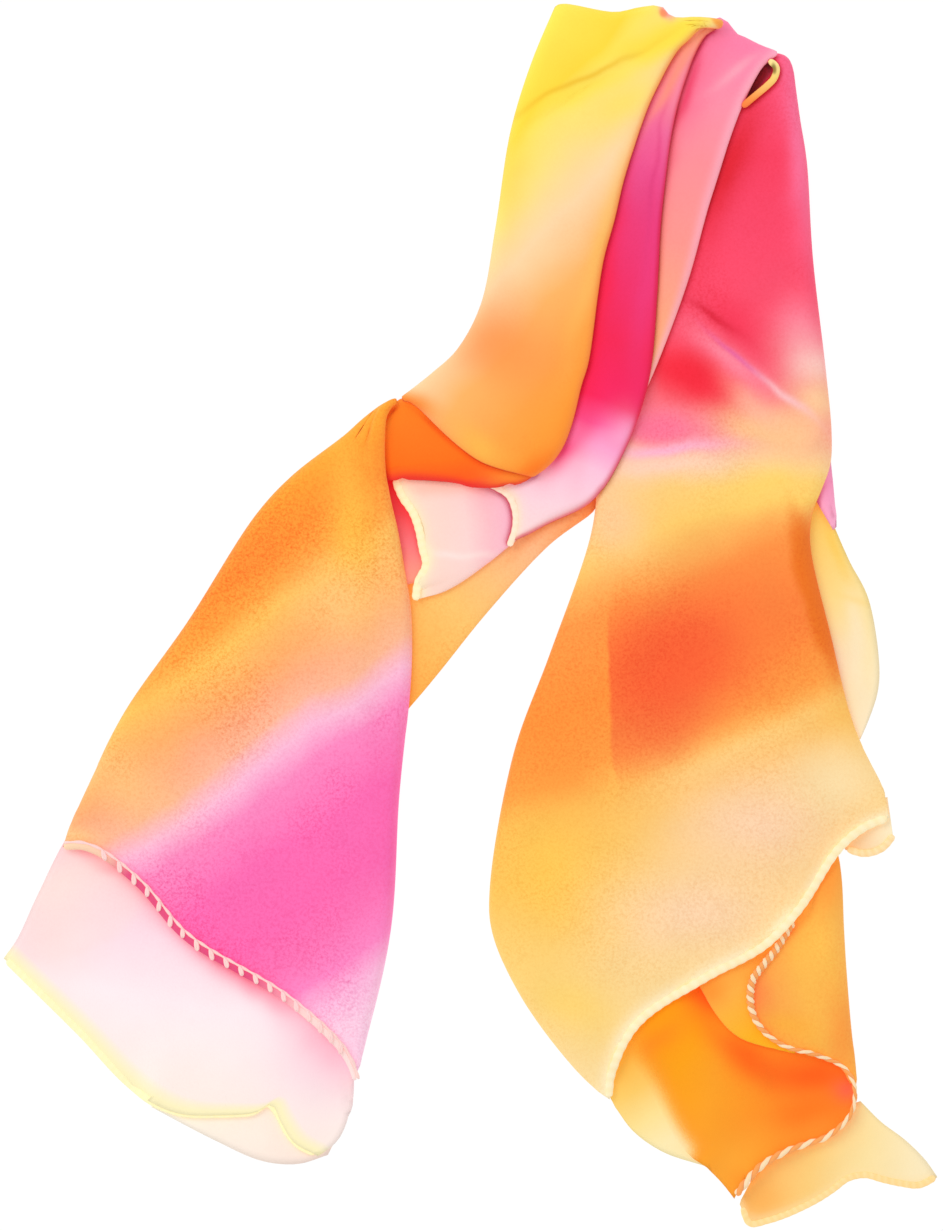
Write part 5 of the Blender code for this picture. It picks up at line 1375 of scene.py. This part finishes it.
loops = stitch_loops(line, (0.1, 0.9), inner=-1.2, reach=3.1, width=0.46, lean=math.radians(46))
loop_points, loop_faces = carried(loops, THREAD, THREAD, THREAD_AROUND, closed=True)
chain = line + unit(np.cross(np.gradient(line, axis=0), UP)) * CHAIN_AT[0] + UP * CHAIN_AT[1]
beat = 1 + BEAT * np.cos(math.tau * np.linspace(0, length(chain), len(chain)) / STITCH_PITCH)
chain_size = THREAD * (beat * rounded_ends(len(chain)))[:, None]
chain_points, chain_faces = carried(chain[None], chain_size, chain_size, THREAD_AROUND)
made, place = start_material("sewing_thread")
thread_colour = noise(place, size=12.0).over("FECED4", "FEDED0")
sewing = new_piece("hem_left_panel_stitches", np.vstack([loop_points, chain_points]),
                   loop_faces + [[k + len(loop_points) for k in face] for face in chain_faces],
                   cloth_finish(made, place, thread_colour))
print(len(loops), "loops on the left panel's hem")

# %% [markdown]
# ## What lies on each sheet
# For each stretch, the hems that lie on it are gathered, and on the left panel its stitches too. All of
# them belong to one square of cloth: a stretch is the part of it that shows.

# %% Sheets
for stretch in STRETCHES:
    on_it = [hem_pieces[hem.name] for hem in HEMS if hem.on == stretch.name]
    if stretch.name == "left_panel":
        on_it.append(sewing)
print(len(STRETCHES) + len(HEAPED), "sheets declared")

# %% [markdown]
# ## Floor, light and camera
# The scarf lies on a plain white surface. The light is that of a bright soft studio: an even white
# dome, with one large lamp from the upper left that gives the folds a faint soft shade. The camera
# looks straight down from far above, through a long lens, so that the cloth is seen without
# perspective.

# %% Studio
FLOOR_HALF, FLOOR_Z = 3, -0.0004      # metres
DOME_STRENGTH = 0.7
LAMP_AT, LAMP_SIZE, LAMP_WATTS = (-0.9, 0.8, 1.5), 1.2, 9.0
floor_mesh = bpy.data.meshes.new("floor")
floor_mesh.from_pydata([(x * FLOOR_HALF, y * FLOOR_HALF, FLOOR_Z)
                        for x, y in ((-1, -1), (1, -1), (1, 1), (-1, 1))], [], [(0, 1, 2, 3)])
floor = in_scene("floor", floor_mesh)
made, place = start_material("white_floor")
paper = place.node("BsdfPrincipled", {}, {
    "Base Color": (0.06, 0.06, 0.06, 1.0), "Roughness": 0.9, "Specular IOR Level": 0.1,
    "Emission Color": (1.0, 1.0, 1.0, 1.0), "Emission Strength": 0.97})
place.node("OutputMaterial", {}, {"Surface": paper})
floor_mesh.materials.append(made)

world = bpy.data.worlds.new("studio_dome")
world.use_nodes = True
dome = world.node_tree.nodes["Background"].inputs
dome["Color"].default_value = (1.0, 1.0, 1.0, 1.0)
dome["Strength"].default_value = DOME_STRENGTH
bpy.context.scene.world = world

lamp_data = bpy.data.lights.new("soft_lamp", "AREA")
lamp_data.shape, lamp_data.size, lamp_data.energy = "DISK", LAMP_SIZE, LAMP_WATTS
lamp = in_scene("soft_lamp", lamp_data)
lamp.location = LAMP_AT
x, y, z = lamp.location
lamp.rotation_euler = (math.atan2(math.hypot(x, y), z), 0.0, -math.atan2(-x, -y))

# %% Camera
PICTURE_HEIGHT, PIXELS_PER_MM = 1231, 3
PICTURE_MIDDLE = 0.33   # millimetres up the scarf, from its own middle
DISTANCE, CLOTH_HEIGHT = 2.4, 0.007     # metres; the picture's scale is right at the height of the cloth
SENSOR = 36.0
camera_data = bpy.data.cameras.new("camera")
camera_data.sensor_fit = "VERTICAL"
camera_data.sensor_height = SENSOR
camera_data.lens = SENSOR * (DISTANCE - CLOTH_HEIGHT) / (PICTURE_HEIGHT / PIXELS_PER_MM * MM)
camera_data.clip_end = 20.0
camera = in_scene("camera", camera_data)
camera.location = (0.0, PICTURE_MIDDLE * MM, DISTANCE)
bpy.context.scene.camera = camera
bpy.context.scene.view_settings.view_transform = "Standard"
print("lens", round(camera_data.lens), "mm")
